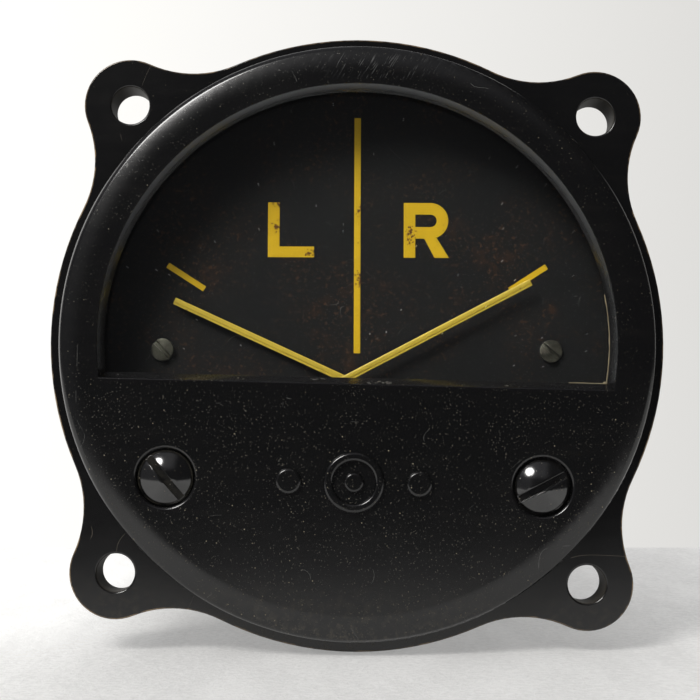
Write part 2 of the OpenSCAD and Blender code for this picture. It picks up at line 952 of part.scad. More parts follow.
module front_bridge_screws()
    color(STEEL)
        for (s = SIDES)
            magnet_frame(s)
                for (t = [-1, 1])
                    at([0, t * bridge_post]) {
                        slotted_head(bridge_y - bridge_head_t, bridge_y, bridge_head_d, 0.4, 0.4, 25);
                        rod(bridge_y, magnet_y + tap_l - tap_spare, bridge_screw);
                    }

module jewel_screw(body, l)
    difference() {
        union() {
            slotted_head(body - jewel_head_t, body, jewel_head_d, 0.6, 0.35, 40);
            rod(body, body + l, jewel_d);
        }
        cone(body + l - tip_l, body + l + cut, 0.4, 1.3);
    }

module front_jewel_screws()
    color(BRASS)
        for (s = SIDES)
            movement_frame(s)
                jewel_screw(jewel_head_y, bridge_rear_y - jewel_head_y);

module rear_jewel_screws()
    color(BRASS)
        for (s = SIDES)
            movement_frame(s)
                translate([0, rear_bridge_y, 0])
                    mirror([0, 1, 0])
                        jewel_screw(-bridge_t - 0.6, bridge_t + 0.6);

module rear_bridge(side)
    color(BRASS)
        magnet_frame(side)
            difference() {
                union() {
                    plate(rear_bridge_y, rear_bridge_rear_y) {
                        translate([-bridge_w / 2, -rear_post])
                            square([bridge_w, 2 * rear_post]);
                        circle(2.8);
                        for (t = [-1, 1])
                            translate([0, t * rear_post])
                                circle(bridge_w / 2);
                    }
                    for (t = [-1, 1])
                        at([0, t * rear_post])
                            rod(chassis_rear_y + bush_t, rear_bridge_y, rear_post_d);
                    at([-post_at, 0])
                        rod(rear_spring_y, rear_bridge_rear_y, post_d);
                    plate(rear_bridge_y, rear_bridge_rear_y)
                        translate([-post_at - post_d / 2, -0.7])
                            square([post_at, 1.4]);
                }
                rod(rear_bridge_y - 1, rear_bridge_rear_y + 1, jewel_d + 2 * screw_gap);
                for (t = [-1, 1])
                    at([0, t * rear_post])
                        rod(chassis_rear_y, rear_bridge_rear_y + 1, bridge_screw + 2 * screw_gap);
            }

module left_rear_bridge() rear_bridge(LEFT);
module right_rear_bridge() rear_bridge(RIGHT);

module insulating_bushes()
    color([0.45, 0.3, 0.18])
        for (s = SIDES)
            magnet_frame(s)
                for (t = [-1, 1])
                    at([0, t * rear_post])
                        difference() {
                            rod(chassis_rear_y, chassis_rear_y + bush_t, rear_post_d + 0.8);
                            rod(chassis_rear_y - 1, chassis_rear_y + bush_t + 1, bridge_screw + 2 * screw_gap);
                        }

module rear_bridge_screws()
    color(STEEL)
        for (s = SIDES)
            magnet_frame(s)
                for (t = [-1, 1])
                    at([0, t * rear_post])
                        translate([0, rear_bridge_rear_y, 0])
                            mirror([0, 1, 0]) {
                                slotted_head(-bridge_head_t, 0, bridge_head_d, 0.4, 0.4, 70);
                                rod(0, rear_bridge_rear_y - chassis_y, bridge_screw);
                            }

// Hairsprings: half turns whose centres alternate, so that each runs into the next
module hairspring(from)
    for (i = [0 : spring_turns - 1])
        translate([i % 2 == 0 ? 0 : spring_step, from + spring_w, 0])
            rotate([90, 0, 0])
                rotate([0, 0, 180 * (i % 2)])
                    rotate_extrude(angle = 180)
                        translate([spring_in + spring_step * i - spring_t / 2, 0])
                            square([spring_t, spring_w]);

module rear_hairsprings()
    color(COPPER)
        for (s = SIDES)
            magnet_frame(s)
                hairspring(rear_spring_y);

// Moving systems
module pointer(side) {
    y = pointer_y(side);
    color(YELLOW)
        pointer_frame(side)
            difference() {
                union() {
                    plate(y, y + pointer_t) {
                        polygon([
                            [0, -pointer_root_w / 2],
                            [pointer_l, -pointer_tip_w / 2],
                            [pointer_l, pointer_tip_w / 2],
                            [0, pointer_root_w / 2]
                        ]);
                        circle(d = pointer_hub);
                        translate([-tail_l, -arm_w / 2])
                            square([tail_l, arm_w]);
                        translate([-arm_w / 2, -side_arm_l])
                            square([arm_w, 2 * side_arm_l]);
                    }
                    rod(y, y + pointer_t + 0.3, pointer_hub);
                }
                rod(y - 1, y + pointer_t + 1, staff_d);
            }
}

module left_pointer() pointer(LEFT);
module right_pointer() pointer(RIGHT);

module balance_weights(side) {
    y = pointer_y(side) + pointer_t / 2;
    color(BRASS)
        pointer_frame(side) {
            difference() {
                translate([-tail_l, y, 0])
                    rotate([0, 90, 0])
                        cylinder(h = weight_l, d = weight_d);
                translate([-tail_l - 1, y - pointer_t / 2, -arm_w / 2])
                    cube([tail_l, pointer_t, arm_w]);
            }
            for (s = [-1, 1])
                difference() {
                    translate([0, y, s * (side_arm_l - side_weight_l / 2)])
                        cylinder(h = side_weight_l, d = side_weight_d, center = true);
                    translate([-arm_w / 2, y - pointer_t / 2, s * side_arm_l - 2])
                        cube([arm_w, pointer_t, 4]);
                }
        }
}

module left_balance_weights() balance_weights(LEFT);
module right_balance_weights() balance_weights(RIGHT);

module pivot_staff(side)
    color(STEEL)
        movement_frame(side) {
            front = bridge_rear_y + part_gap;
            rear = rear_bridge_y - part_gap;
            cone(front - tip_l + part_gap, front, tip_d, staff_d);
            rod(front, coil_y, staff_d);
            rod(front_spring_y - 0.05, front_spring_y + spring_w + 0.05, collet_d);
            rod(coil_rear_y, rear, staff_d);
            rod(rear_spring_y - 0.05, rear_spring_y + spring_w + 0.05, collet_d);
            cone(rear, rear + tip_l - part_gap, staff_d, tip_d);
        }

module left_pivot_staff() pivot_staff(LEFT);
module right_pivot_staff() pivot_staff(RIGHT);

module moving_coil(side)
    color(COPPER)
        magnet_frame(side)
            rotate([0, rest_angle(side) - (pointer_low + pointer_high) / 2, 0])
                difference() {
                    translate([-coil_w / 2, coil_y, -coil_out])
                        cube([coil_w, coil_rear_y - coil_y, 2 * coil_out]);
                    translate([-coil_w, coil_y + coil_end, -coil_in])
                        cube([2 * coil_w, coil_rear_y - coil_y - 2 * coil_end, 2 * coil_in]);
                }

module left_moving_coil() moving_coil(LEFT);
module right_moving_coil() moving_coil(RIGHT);

// Zero adjustment
module lever_frame(side)
    at(pivot_at(side))
        rotate([0, -lever_angle(side), 0])
            children();

module zero_lever(side) {
    pin_at = lever_reach(side) + adjuster_throw;
    color(BRASS)
        lever_frame(side) {
            plate(lever_y, lever_y + lever_t)
                difference() {
                    union() {
                        circle(d = lever_ring);
                        translate([0, -fork_w / 2])
                            square([pin_at + adjuster_pin, fork_w]);
                        translate([-post_at - post_d / 2, -0.7])
                            square([post_at, 1.4]);
                    }
                    circle(d = jewel_d + 2 * running_gap);
                    translate([pin_at - adjuster_throw - adjuster_pin / 2, -adjuster_pin / 2 - fork_gap])
                        square([10, adjuster_pin + 2 * fork_gap]);
                }
            at([-post_at, 0])
                rod(lever_y, front_spring_y + spring_w, post_d);
        }
}

module left_zero_lever() zero_lever(LEFT);
module right_zero_lever() zero_lever(RIGHT);

module front_hairspring(side)
    color(COPPER)
        lever_frame(side)
            hairspring(front_spring_y);

module left_front_hairspring() front_hairspring(LEFT);
module right_front_hairspring() front_hairspring(RIGHT);

module zero_adjuster(side) {
    head_r = adjuster_head / 2;
    dome_r = (head_r ^ 2 + dome_h ^ 2) / (2 * dome_h);
    color([0.03, 0.03, 0.035])
        at(adjuster_at(side)) {
            difference() {
                union() {
                    rod(dome_y + dome_h, recess_y - 0.1, adjuster_head);
                    intersection() {
                        translate([0, dome_y + dome_r, 0])
                            sphere(dome_r);
                        rod(dome_y - 1, dome_y + dome_h + cut, adjuster_head);
                    }
                }
                rotate([0, side == LEFT ? -left_slot : -right_slot, 0])
                    translate([-adjuster_head, dome_y - 1, -slot_w / 2])
                        cube([2 * adjuster_head, slot_depth + 1, slot_w]);
            }
            difference() {
                rod(recess_y - 0.1, shaft_end_y, adjuster_shaft);
                difference() {
                    rod(clip_y - 0.02, clip_y + clip_t + 0.02, adjuster_shaft + 1);
                    rod(clip_y - 1, clip_y + clip_t + 1, groove_d);
                }
            }
            rotate([0, -lever_angle(side), 0])
                at([adjuster_throw, 0])
                    rod(shaft_end_y, pin_end_y, adjuster_pin);
        }
}

module left_zero_adjuster() zero_adjuster(LEFT);
module right_zero_adjuster() zero_adjuster(RIGHT);

module adjuster_clip(side)
    color(STEEL)
        at(adjuster_at(side))
            plate(clip_y, clip_y + clip_t)
                difference() {
                    circle(d = clip_d);
                    circle(d = groove_d + 0.1);
                    translate([0, -clip_slot / 2])
                        square([clip_d, clip_slot]);
                }

module left_adjuster_clip() adjuster_clip(LEFT);
module right_adjuster_clip() adjuster_clip(RIGHT);

module adjuster_washers()
    color(BRASS)
        for (s = SIDES)
            at(adjuster_at(s))
                plate(panel_y, panel_y + washer_t)
                    difference() {
                        circle(d = adjuster_shaft + 3);
                        circle(d = adjuster_shaft + 2 * running_gap);
                    }

// Rear case
module case_gasket()
    color([0.2, 0.16, 0.12])
        plate(gasket_y, case_y)
            difference() {
                intersection() {
                    union() {
                        difference() {
                            circle(body_r);
                            circle(cavity_r);
                        }
                        boss_outlines();
                    }
                    circle(body_r);
                }
                for (angle = case_screw_angles)
                    translate(at_angle(boss_at, angle))
                        circle(d = case_screw + 0.3);
            }

module terminals()
    for (i = [-1, 0, 1])
        at([i * terminal_pitch, -terminal_drop])
            children();

module rear_case()
    color(BLACK)
        difference() {
            union() {
                difference() {
                    rod(case_y, case_depth, body_d);
                    rod(case_y - 1, case_floor_y, 2 * cavity_r);
                }
                plate(case_y, case_depth)
                    intersection() {
                        boss_outlines();
                        circle(body_r - 1);
                    }
            }
            for (angle = case_screw_angles)
                at(at_angle(boss_at, angle)) {
                    rod(case_y - 1, case_depth + 1, case_screw + 0.3);
                    rod(case_depth - case_head_t - 0.4, case_depth + 1, case_head_d + 0.4);
                }
            terminals()
                rod(case_floor_y - 1, case_depth + 1, terminal_d + 2 * screw_gap);
        }

module case_screws() {
    head_y = case_depth - case_head_t - 0.4;
    color(STEEL)
        for (angle = case_screw_angles)
            at(at_angle(boss_at, angle))
                translate([0, head_y, 0])
                    mirror([0, 1, 0]) {
                        slotted_head(-case_head_t, 0, case_head_d, 1, 0.9, angle / 2);
                        rod(0, head_y - skirt_l + insert_l - 0.5, case_screw);
                    }
}

module screw_inserts()
    color(BRASS)
        for (angle = case_screw_angles)
            at(at_angle(boss_at, angle))
                difference() {
                    rod(skirt_l - insert_l, skirt_l, insert_d);
                    rod(skirt_l - insert_l - 1, skirt_l + 1, case_screw + 2 * screw_gap);
                }

// Terminals
module terminal_studs()
    color(BRASS)
        terminals() {
            rod(case_floor_y - tag_t - terminal_nut_t - stud_end, thumb_end_y + terminal_end_gap, terminal_d);
            rod(thumb_end_y, case_depth + terminal_l, terminal_end_d);
        }

module solder_tags()
    color([0.8, 0.78, 0.7])
        terminals()
            plate(case_floor_y - tag_t, case_floor_y)
                difference() {
                    union() {
                        circle(d = terminal_nut + 1);
                        translate([-tag_w / 2, 0])
                            square([tag_w, tag_l]);
                    }
                    circle(d = terminal_d + 0.2);
                    translate([0, tag_eye])
                        circle(d = wire_d + 0.2);
                }

module ring(from, to, outer, inner)
    difference() {
        rod(from, to, outer);
        rod(from - 1, to + 1, inner);
    }

module terminal_washers()
    color(BRASS)
        terminals()
            ring(case_depth, case_depth + terminal_washer_t, terminal_nut + 1.6, terminal_d + 0.2);

module terminal_nuts()
    color(BRASS)
        terminals()
            for (y = [case_floor_y - tag_t - terminal_nut_t, case_depth + terminal_washer_t])
                difference() {
                    plate(y, y + terminal_nut_t)
                        hexagon(terminal_nut);
                    rod(y - 1, y + terminal_nut_t + 1, terminal_d + 2 * screw_gap);
                }

module terminal_thumb_nuts()
    color(BRASS)
        terminals()
            difference() {
                union() {
                    rod(thumb_y, thumb_y + thumb_t, thumb_d);
                    rod(thumb_y, thumb_end_y, thumb_d - 2 * thumb_collar_w);
                }
                for (i = [0 : 23])
                    rotate([0, 15 * i, 0])
                        at([thumb_d / 2 + 0.3, 0])
                            rod(thumb_y - 1, thumb_y + thumb_t + 0.01, 1);
                rod(thumb_y - 1, thumb_end_y + 1, terminal_d + 2 * screw_gap);
            }

// Lead wires: each leaves its start backwards, bends across and meets its solder tag
wire_starts = [
    turned([-pivot_x - 1, -pivot_drop + 6]),
    [0, -12],
    turned([pivot_x + 1, -pivot_drop + 6])
];
function smooth(t) = t * t * (3 - 2 * t);
function wire_point(i, t) = [
    wire_starts[i][0] + ((i - 1) * terminal_pitch - wire_starts[i][0]) * smooth(t),
    wire_start_y(i) + (case_floor_y - tag_t - wire_start_y(i)) * t,
    wire_starts[i][1] + (tag_eye - terminal_drop - wire_starts[i][1]) * smooth(t)
];
function wire_start_y(i) = (i == 1 ? chassis_rear_y : rear_bridge_rear_y) + 0.02;

module tube(points, d, sides = 8) {
    rings = [for (p = points) [for (k = [0 : sides - 1])
        [p[0] + d / 2 * cos(360 * k / sides), p[1], p[2] + d / 2 * sin(360 * k / sides)]]];
    last = len(points) - 1;
    polyhedron(
        [for (r = rings) each r],
        concat(
            [[for (k = [0 : sides - 1]) k]],
            [for (j = [0 : last - 1], k = [0 : sides - 1])
                each [[j * sides + k, (j + 1) * sides + k, (j + 1) * sides + (k + 1) % sides],
                      [j * sides + k, (j + 1) * sides + (k + 1) % sides, j * sides + (k + 1) % sides]]],
            [[for (k = [sides - 1 : -1 : 0]) last * sides + k]]
        )
    );
}

module lead_wires()
    for (i = [0, 1, 2])
        color([[0.6, 0.12, 0.1], [0.1, 0.1, 0.1], [0.1, 0.35, 0.15]][i])
            tube([for (j = [0 : wire_rings]) wire_point(i, j / wire_rings)], wire_d);

front_moulding();
window_glass();
glass_seal();
glass_retainer();
retainer_screws();
dial_plate();
dial_markings();
dial_screws();
dial_posts();
chassis_plate();
chassis_pillars();
chassis_screws();
left_magnet();
right_magnet();
left_pole_pieces();
right_pole_pieces();
armature_cores();
core_brackets();
core_bracket_screws();
magnet_screws();
left_front_bridge();
right_front_bridge();
front_bridge_screws();
front_jewel_screws();
left_rear_bridge();
right_rear_bridge();
insulating_bushes();
rear_bridge_screws();
rear_jewel_screws();
rear_hairsprings();
left_pointer();
left_pivot_staff();
left_moving_coil();
left_balance_weights();
right_pointer();
right_pivot_staff();
right_moving_coil();
right_balance_weights();
left_zero_lever();
left_front_hairspring();
right_zero_lever();
right_front_hairspring();
left_zero_adjuster();
left_adjuster_clip();
right_zero_adjuster();
right_adjuster_clip();
adjuster_washers();
case_gasket();
rear_case();
case_screws();
screw_inserts();
terminal_studs();
terminal_nuts();
terminal_thumb_nuts();
terminal_washers();
solder_tags();
lead_wires();
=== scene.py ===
"""Looks of a round direction finder indicator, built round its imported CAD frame.

Each Operator below makes one piece or one group of like pieces, and what may be changed about
it stands in the PropertyGroup of the same name. The frame is that of the CAD model: the dial
faces -Y and +Z is up. Lengths are in metres where no comment gives millimetres.
"""

import json
import math

import bpy
from mathutils import Matrix, Vector


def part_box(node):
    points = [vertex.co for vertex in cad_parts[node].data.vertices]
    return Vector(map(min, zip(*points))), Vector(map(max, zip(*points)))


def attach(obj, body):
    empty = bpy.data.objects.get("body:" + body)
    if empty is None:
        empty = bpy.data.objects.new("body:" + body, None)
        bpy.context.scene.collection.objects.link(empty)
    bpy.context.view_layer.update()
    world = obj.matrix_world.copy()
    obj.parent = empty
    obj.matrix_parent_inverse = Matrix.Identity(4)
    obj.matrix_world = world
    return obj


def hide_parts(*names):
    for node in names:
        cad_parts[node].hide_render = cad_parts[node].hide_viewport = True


bl_info = {
    "name": "Direction finder indicator",
    "version": (1, 0, 0),
    "blender": (4, 5, 0),
    "location": "3D View > Sidebar > Indicator",
    "description": "Dresses the packed frame of a round crossed-pointer indicator",
    "category": "Object",
}

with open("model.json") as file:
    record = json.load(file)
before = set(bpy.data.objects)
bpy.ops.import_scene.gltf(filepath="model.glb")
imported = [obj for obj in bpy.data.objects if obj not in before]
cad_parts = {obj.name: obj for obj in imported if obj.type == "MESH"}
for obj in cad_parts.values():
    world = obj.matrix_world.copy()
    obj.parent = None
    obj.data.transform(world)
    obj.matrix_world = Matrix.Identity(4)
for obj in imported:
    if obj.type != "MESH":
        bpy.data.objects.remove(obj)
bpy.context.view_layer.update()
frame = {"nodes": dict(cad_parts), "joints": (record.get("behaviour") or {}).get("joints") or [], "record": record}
MM = 0.001
SLOT_OF = {part["node"]: part["material_slot"] for part in frame["record"]["subparts"]}
JOINT = {joint["name"]: joint for joint in frame["joints"]}
SIDES = ("left", "right")

# How near a point has to be to a level to lie in it, and how near to another to be the same
LEVEL = 0.01 * MM
SAME = 0.001 * MM


# Places of the CAD model that the finishing follows
PANEL_FRONT = -10.6 * MM
ORNAMENT_FRONT = -11.4 * MM
SHOULDER_FRONT = -10.1 * MM
WINDOW_LIP = -8.8 * MM
SHOULDER_BACK = -8.5 * MM
FLANGE_FRONT = -6.35 * MM
FLANGE_R = 41.15 * MM
ADJUSTER_AT = (24.8 * MM, -18.55 * MM)
RECESS_ZONE = 4.1 * MM
ORNAMENT_HALF = (12 * MM, 4.5 * MM)
LUG_HOLE_AT = 31.43 * MM
LUG_HOLE_R = 2.55 * MM
WINDOW_R = 33.6 * MM
SILL = -4.75 * MM
DIAL_FRONT = 0.5 * MM


# Angles between two faces: from which an edge is sharp, is softened, or isn't shaded smooth
SHARP = math.radians(30)
SOFTEN_ABOVE = math.radians(32)
SMOOTH_BELOW = math.radians(40)
FOLD_SMOOTH_BELOW = math.radians(38)


# Editing helpers, each one a step that a modeller would take by hand


def clear_selection():
    """Deselects everything, ready for a new primitive."""
    bpy.ops.object.select_all(action="DESELECT")


def only(piece):
    """Leaves this piece alone selected and active."""
    clear_selection()
    piece.select_set(True)
    bpy.context.view_layer.objects.active = piece


def open_mesh(piece):
    """Goes into edit mode with the whole piece selected."""
    only(piece)
    bpy.ops.object.mode_set(mode="EDIT")
    bpy.ops.mesh.select_all(action="SELECT")


def close_mesh():
    """Goes back to object mode."""
    bpy.ops.object.mode_set(mode="OBJECT")


def pick_vertices(piece, test):
    """In edit mode, selects just the vertices that pass the test."""
    bpy.ops.mesh.select_mode(type="VERT")
    bpy.ops.mesh.select_all(action="DESELECT")
    close_mesh()
    for vertex in piece.data.vertices:
        vertex.select = test(vertex.co)
    bpy.ops.object.mode_set(mode="EDIT")


def settle(piece):
    """Puts the piece's place, turn and scale into its mesh."""
    only(piece)
    bpy.ops.object.transform_apply(location=True, rotation=True, scale=True)


def add_modifier(piece, kind, **settings):
    """Adds a modifier, sets it and applies it."""
    only(piece)
    bpy.ops.object.modifier_add(type=kind)
    modifier = piece.modifiers[-1]
    for name, value in settings.items():
        setattr(modifier, name, value)
    bpy.ops.object.modifier_apply(modifier=modifier.name)


def join(name, pieces):
    """Joins the pieces into the first one and names the result."""
    only(pieces[0])
    for piece in pieces[1:]:
        piece.select_set(True)
    bpy.ops.object.join()
    pieces[0].name = name
    pieces[0].data.name = name
    return pieces[0]


def outward(piece):
    """Merges doubled vertices and turns every face outwards."""
    open_mesh(piece)
    bpy.ops.mesh.remove_doubles(threshold=SAME)
    bpy.ops.mesh.normals_make_consistent(inside=False)
    close_mesh()


def round_edges(piece, test, width, segments, material=-1):
    """Rounds the sharp edges whose two ends pass the test, as with the bevel tool."""
    only(piece)
    bpy.ops.object.mode_set(mode="EDIT")
    bpy.ops.mesh.select_mode(type="EDGE")
    bpy.ops.mesh.select_all(action="DESELECT")
    bpy.ops.mesh.edges_select_sharp(sharpness=SHARP)
    close_mesh()
    mesh = piece.data
    sharp = [edge.index for edge in mesh.edges if edge.select]
    places = [vertex.co for vertex in mesh.vertices]
    chosen = {i for i in sharp if all(test(places[end]) for end in mesh.edges[i].vertices)}
    bpy.ops.object.mode_set(mode="EDIT")
    bpy.ops.mesh.select_all(action="DESELECT")
    close_mesh()
    for i in chosen:
        mesh.edges[i].select = True
    bpy.ops.object.mode_set(mode="EDIT")
    bpy.ops.mesh.bevel(
        offset=width,
        segments=segments,
        affect="EDGES",
        clamp_overlap=True,
        material=material,
        miter_outer="ARC",
    )
    close_mesh()


def merged_copy(name, node):
    """A merged copy of a CAD node with flat faces made whole, in the finish of its slot."""
    piece = bpy.data.objects.new(name, frame["nodes"][node].data.copy())
    bpy.context.scene.collection.objects.link(piece)
    piece.data.name = name
    open_mesh(piece)
    bpy.ops.mesh.remove_doubles(threshold=2 * SAME)
    bpy.ops.mesh.dissolve_limited(angle_limit=math.radians(0.05))
    close_mesh()
    bpy.ops.mesh.customdata_custom_splitnormals_clear()
    piece.data.materials.clear()
    piece.data.materials.append(finish_of(SLOT_OF[node]))
    return piece


def smooth_over(piece):
    """Shades the rounded corners smooth and keeps flat faces flat."""
    only(piece)
    bpy.ops.object.shade_smooth_by_angle(angle=SMOOTH_BELOW)
    add_modifier(piece, "WEIGHTED_NORMAL", keep_sharp=True, weight=50)


def soften(name, node, body, width, segments=2):
    """Puts a merged copy with its sharp corners rounded off in the place of a CAD node."""
    piece = merged_copy(name, node)
    add_modifier(
        piece,
        "BEVEL",
        width=width,
        segments=segments,
        limit_method="ANGLE",
        angle_limit=SOFTEN_ABOVE,
        miter_outer="MITER_ARC",
    )
    smooth_over(piece)
    dress(piece, body, SLOT_OF[node], node)


def dress(piece, body, slot, *nodes):
    """Paints a new piece, lets it ride on a body and hides the nodes that it stands for."""
    if not piece.data.materials:
        piece.data.materials.append(finish_of(slot))
    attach(piece, body)
    if nodes:
        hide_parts(*nodes)


def paint(*nodes):
    """Gives CAD nodes the finish of their slot, and leaves their meshes as they are."""
    for node in nodes:
        piece = frame["nodes"][node]
        if not piece.material_slots:
            piece.data.materials.append(None)
        for slot in piece.material_slots:
            slot.link = "OBJECT"
            slot.material = finish_of(SLOT_OF[node])


def pivot_of(joint):
    """Where a joint's axis stands."""
    return Vector(JOINT[joint]["pos_m"])


# Shader helpers

# Keeps the patches that hold threads apart from the pattern of the threads
THREAD_SHIFT = (0.041, 0.007, 0.033)


class Wire:
    """A socket whose arithmetic adds Math nodes to its tree."""

    def __init__(self, nodes, socket):
        self.nodes = nodes
        self.socket = socket

    def output(self, name):
        """Another output of the node that this one comes from."""
        return Wire(self.nodes, self.socket.node.outputs[name])

    def math(self, operation, *others):
        return self.nodes.math(operation, self, *others)

    def __add__(self, other):
        return self.math("ADD", other)

    __radd__ = __add__

    def __sub__(self, other):
        return self.math("SUBTRACT", other)

    def __rsub__(self, other):
        return self.nodes.math("SUBTRACT", other, self)

    def __mul__(self, other):
        return self.math("MULTIPLY", other)

    __rmul__ = __mul__

    def __truediv__(self, other):
        return self.math("DIVIDE", other)

    def __pow__(self, other):
        return self.math("POWER", other)

    def __abs__(self):
        return self.math("ABSOLUTE")

    def at_most(self, other):
        return self.math("MINIMUM", other)

    def at_least(self, other):
        return self.math("MAXIMUM", other)

    def rise(self, low, high):
        """0 below low, 1 above high and smooth between. It falls where low is above high."""
        sockets = {"Value": self, "From Min": low, "From Max": high}
        return self.nodes.node("ShaderNodeMapRange", {"interpolation_type": "SMOOTHSTEP"}, sockets)


class Nodes:
    """A tree of shader nodes that wires are made in."""

    def __init__(self, tree):
        self.tree = tree

    def node(self, kind, settings=None, sockets=None, output=0):
        """Adds a node: its settings first, then a value or a link for each socket."""
        made = self.tree.nodes.new(kind)
        for name, value in (settings or {}).items():
            setattr(made, name, value)
        for name, value in (sockets or {}).items():
            if isinstance(value, Wire):
                self.tree.links.new(value.socket, made.inputs[name])
            else:
                made.inputs[name].default_value = value
        return Wire(self, made.outputs[output])

    def math(self, operation, *values):
        return self.node("ShaderNodeMath", {"operation": operation}, dict(enumerate(values)))

    def vector(self, operation, *values, output=0):
        settings = {"operation": operation}
        return self.node("ShaderNodeVectorMath", settings, dict(enumerate(values)), output)

    def length(self, vector):
        return self.vector("LENGTH", vector, output="Value")

    def mix_shader(self, share, first, second):
        return self.node("ShaderNodeMixShader", None, {0: share, 1: first, 2: second})

    def background(self, colour, strength):
        sockets = {"Color": (*colour, 1.0), "Strength": strength}
        return self.node("ShaderNodeBackground", None, sockets)


class Finish(Nodes):
    """One material. Its shader's own sockets hold what is the same all over."""

    def __init__(self, name, **constants):
        self.material = bpy.data.materials.new(name)
        self.material.use_nodes = True
        super().__init__(self.material.node_tree)
        self.shader = self.tree.nodes["Principled BSDF"]
        self.place = None
        for key, value in constants.items():
            socket = self.shader.inputs[key.replace("_", " ").title().replace("Ior", "IOR")]
            socket.default_value = (*value, 1.0) if isinstance(value, tuple) else value
        self.material.diffuse_color = self.shader.inputs["Base Color"].default_value

    def drive(self, **wires):
        """Lets wires set sockets of the shader."""
        for key, wire in wires.items():
            self.tree.links.new(wire.socket, self.shader.inputs[key.replace("_", " ").title()])

    def surface(self, height, depth, strength=1.0, **wires):
        """Raises the surface by a height, in parts of the depth in metres, and drives the rest."""
        sockets = {"Height": height, "Distance": depth, "Strength": strength}
        self.drive(normal=self.node("ShaderNodeBump", None, sockets), **wires)

    def coords(self):
        """The point on the piece, in the frame of the CAD model."""
        if self.place is None:
            self.place = self.node("ShaderNodeTexCoord").output("Object")
        return self.place

    def axis(self, name):
        """One coordinate of the point."""
        return self.node("ShaderNodeSeparateXYZ", None, {"Vector": self.coords()}).output(name)

    def moved(self, centre=(0, 0, 0), turn=(0, 0, 0), stretch=(1, 1, 1)):
        """The point as seen from a centre, turned and stretched."""
        shifted = self.vector("SUBTRACT", self.coords(), centre)
        sockets = {"Vector": shifted, "Rotation": turn, "Scale": stretch}
        return self.node("ShaderNodeMapping", {"vector_type": "POINT"}, sockets)

    def noise(self, scale, detail=3.0, roughness=0.5, distortion=0.0, place=None):
        """Soft noise. The scale is in waves for each metre."""
        sockets = {
            "Vector": place or self.coords(),
            "Scale": scale,
            "Detail": detail,
            "Roughness": roughness,
            "Distortion": distortion,
        }
        return self.node("ShaderNodeTexNoise", None, sockets)

    def specks(self, scale, share, size):
        """Small dots of many sizes, as seen from the front, in a share of the cells."""
        place = self.moved(turn=(-math.pi / 2, 0, 0))
        sockets = {"Vector": place, "Scale": scale}
        dots = self.node("ShaderNodeTexVoronoi", {"voronoi_dimensions": "2D"}, sockets)
        chance = self.node("ShaderNodeSeparateColor", None, {"Color": dots.output("Color")})
        held = chance.rise(1 - share, 1 - share * 0.9)
        held = held * (0.15 + 0.85 * chance.output("Blue") ** 2.0)
        reach = size * (0.45 + 0.55 * chance.output("Green"))
        return (dots / reach).rise(1.0, 0.55) * held

    def hairs(self, scale, width, patches, share):
        """Short fine curved threads: lines of equal height in noise, seen in a few patches."""
        line = abs(self.noise(scale, 0.0) - 0.5).rise(width, width * 0.3)
        where = self.noise(patches, 0.0, place=self.moved(THREAD_SHIFT))
        return line * where.rise(1 - share, 1 - share + 0.03)

    def patch(self, centre, radii, soft):
        """A blob with a soft outer part: its centre and its half widths are in millimetres."""
        away = self.vector("SUBTRACT", self.coords(), tuple(c * MM for c in centre))
        sized = self.vector("MULTIPLY", away, tuple(1 / (radius * MM) for radius in radii))
        return self.length(sized).rise(1.0, 1.0 - soft)

    def blend(self, share, low, high):
        """A mix of two colours."""
        sockets = {0: share}
        for index, colour in ((6, low), (7, high)):
            sockets[index] = colour if isinstance(colour, Wire) else (*colour, 1.0)
        settings = {"data_type": "RGBA", "clamp_factor": True}
        return self.node("ShaderNodeMix", settings, sockets, 2)

    def coat(self, colour, *coats):
        """Lays coats over a colour in turn, each one a share and the coat's own colour."""
        for share, over in coats:
            colour = self.blend(share, colour, over)
        return colour

    def mix_over(self, share, other):
        """Mixes another shader over the finish's own."""
        both = self.mix_shader(share, Wire(self, self.shader.outputs[0]), other)
        self.tree.links.new(both.socket, self.tree.nodes["Material Output"].inputs["Surface"])

    def pass_light(self):
        """Lets lamps shine straight through, so that glass casts no dark shadow."""
        shadow = self.node("ShaderNodeLightPath").output("Is Shadow Ray")
        self.mix_over(shadow, self.node("ShaderNodeBsdfTransparent"))

    def show_bright(self, colour, share, gain):
        """For the camera and for gloss, a share shows its colour however it is lit."""
        rays = self.node("ShaderNodeLightPath")
        seen = rays.output("Is Camera Ray").at_least(rays.output("Is Glossy Ray")) * share
        sockets = {"Color": colour, "Strength": gain}
        self.mix_over(seen, self.node("ShaderNodeEmission", None, sockets))


# Finishes

# Colours of dirt and wear on the moulding, and of the painted light on it: a painted highlight along the rubbed
# rims and a painted reflection on the window slope
SMUDGE = (0.07, 0.06, 0.045)
# Pale brown of the filler on rubbed edges, which also paints a highlight along the rims
FILLER_AND_RIM_HIGHLIGHT = (0.3, 0.21, 0.12)
FOOT_DIRT = (0.2, 0.17, 0.12)
TAN_DUST = (0.13, 0.11, 0.065)
PALE_GRIT = (0.36, 0.31, 0.2)
LINT = (0.36, 0.36, 0.34)
SCRATCH = (0.16, 0.13, 0.09)
# Bluish grey film on the window slope: dust, and also a painted reflection
SLOPE_FILM_AND_REFLECTION = (0.1, 0.104, 0.107)
SCUFF = (0.11, 0.11, 0.108)
CHIP = (0.17, 0.165, 0.14)
DRILLED_WALL = (0.035, 0.028, 0.018)

# Colours of dirt and wear on the dial and its markings
PAINT_HAZE = (0.008, 0.0083, 0.0085)
RUST = (0.045, 0.02, 0.009)
RUST_FLECK = (0.07, 0.032, 0.013)
DIAL_DUST = (0.3, 0.29, 0.27)
YELLOW_STAIN = (0.42, 0.25, 0.03)
BARE_RUST = (0.09, 0.035, 0.012)

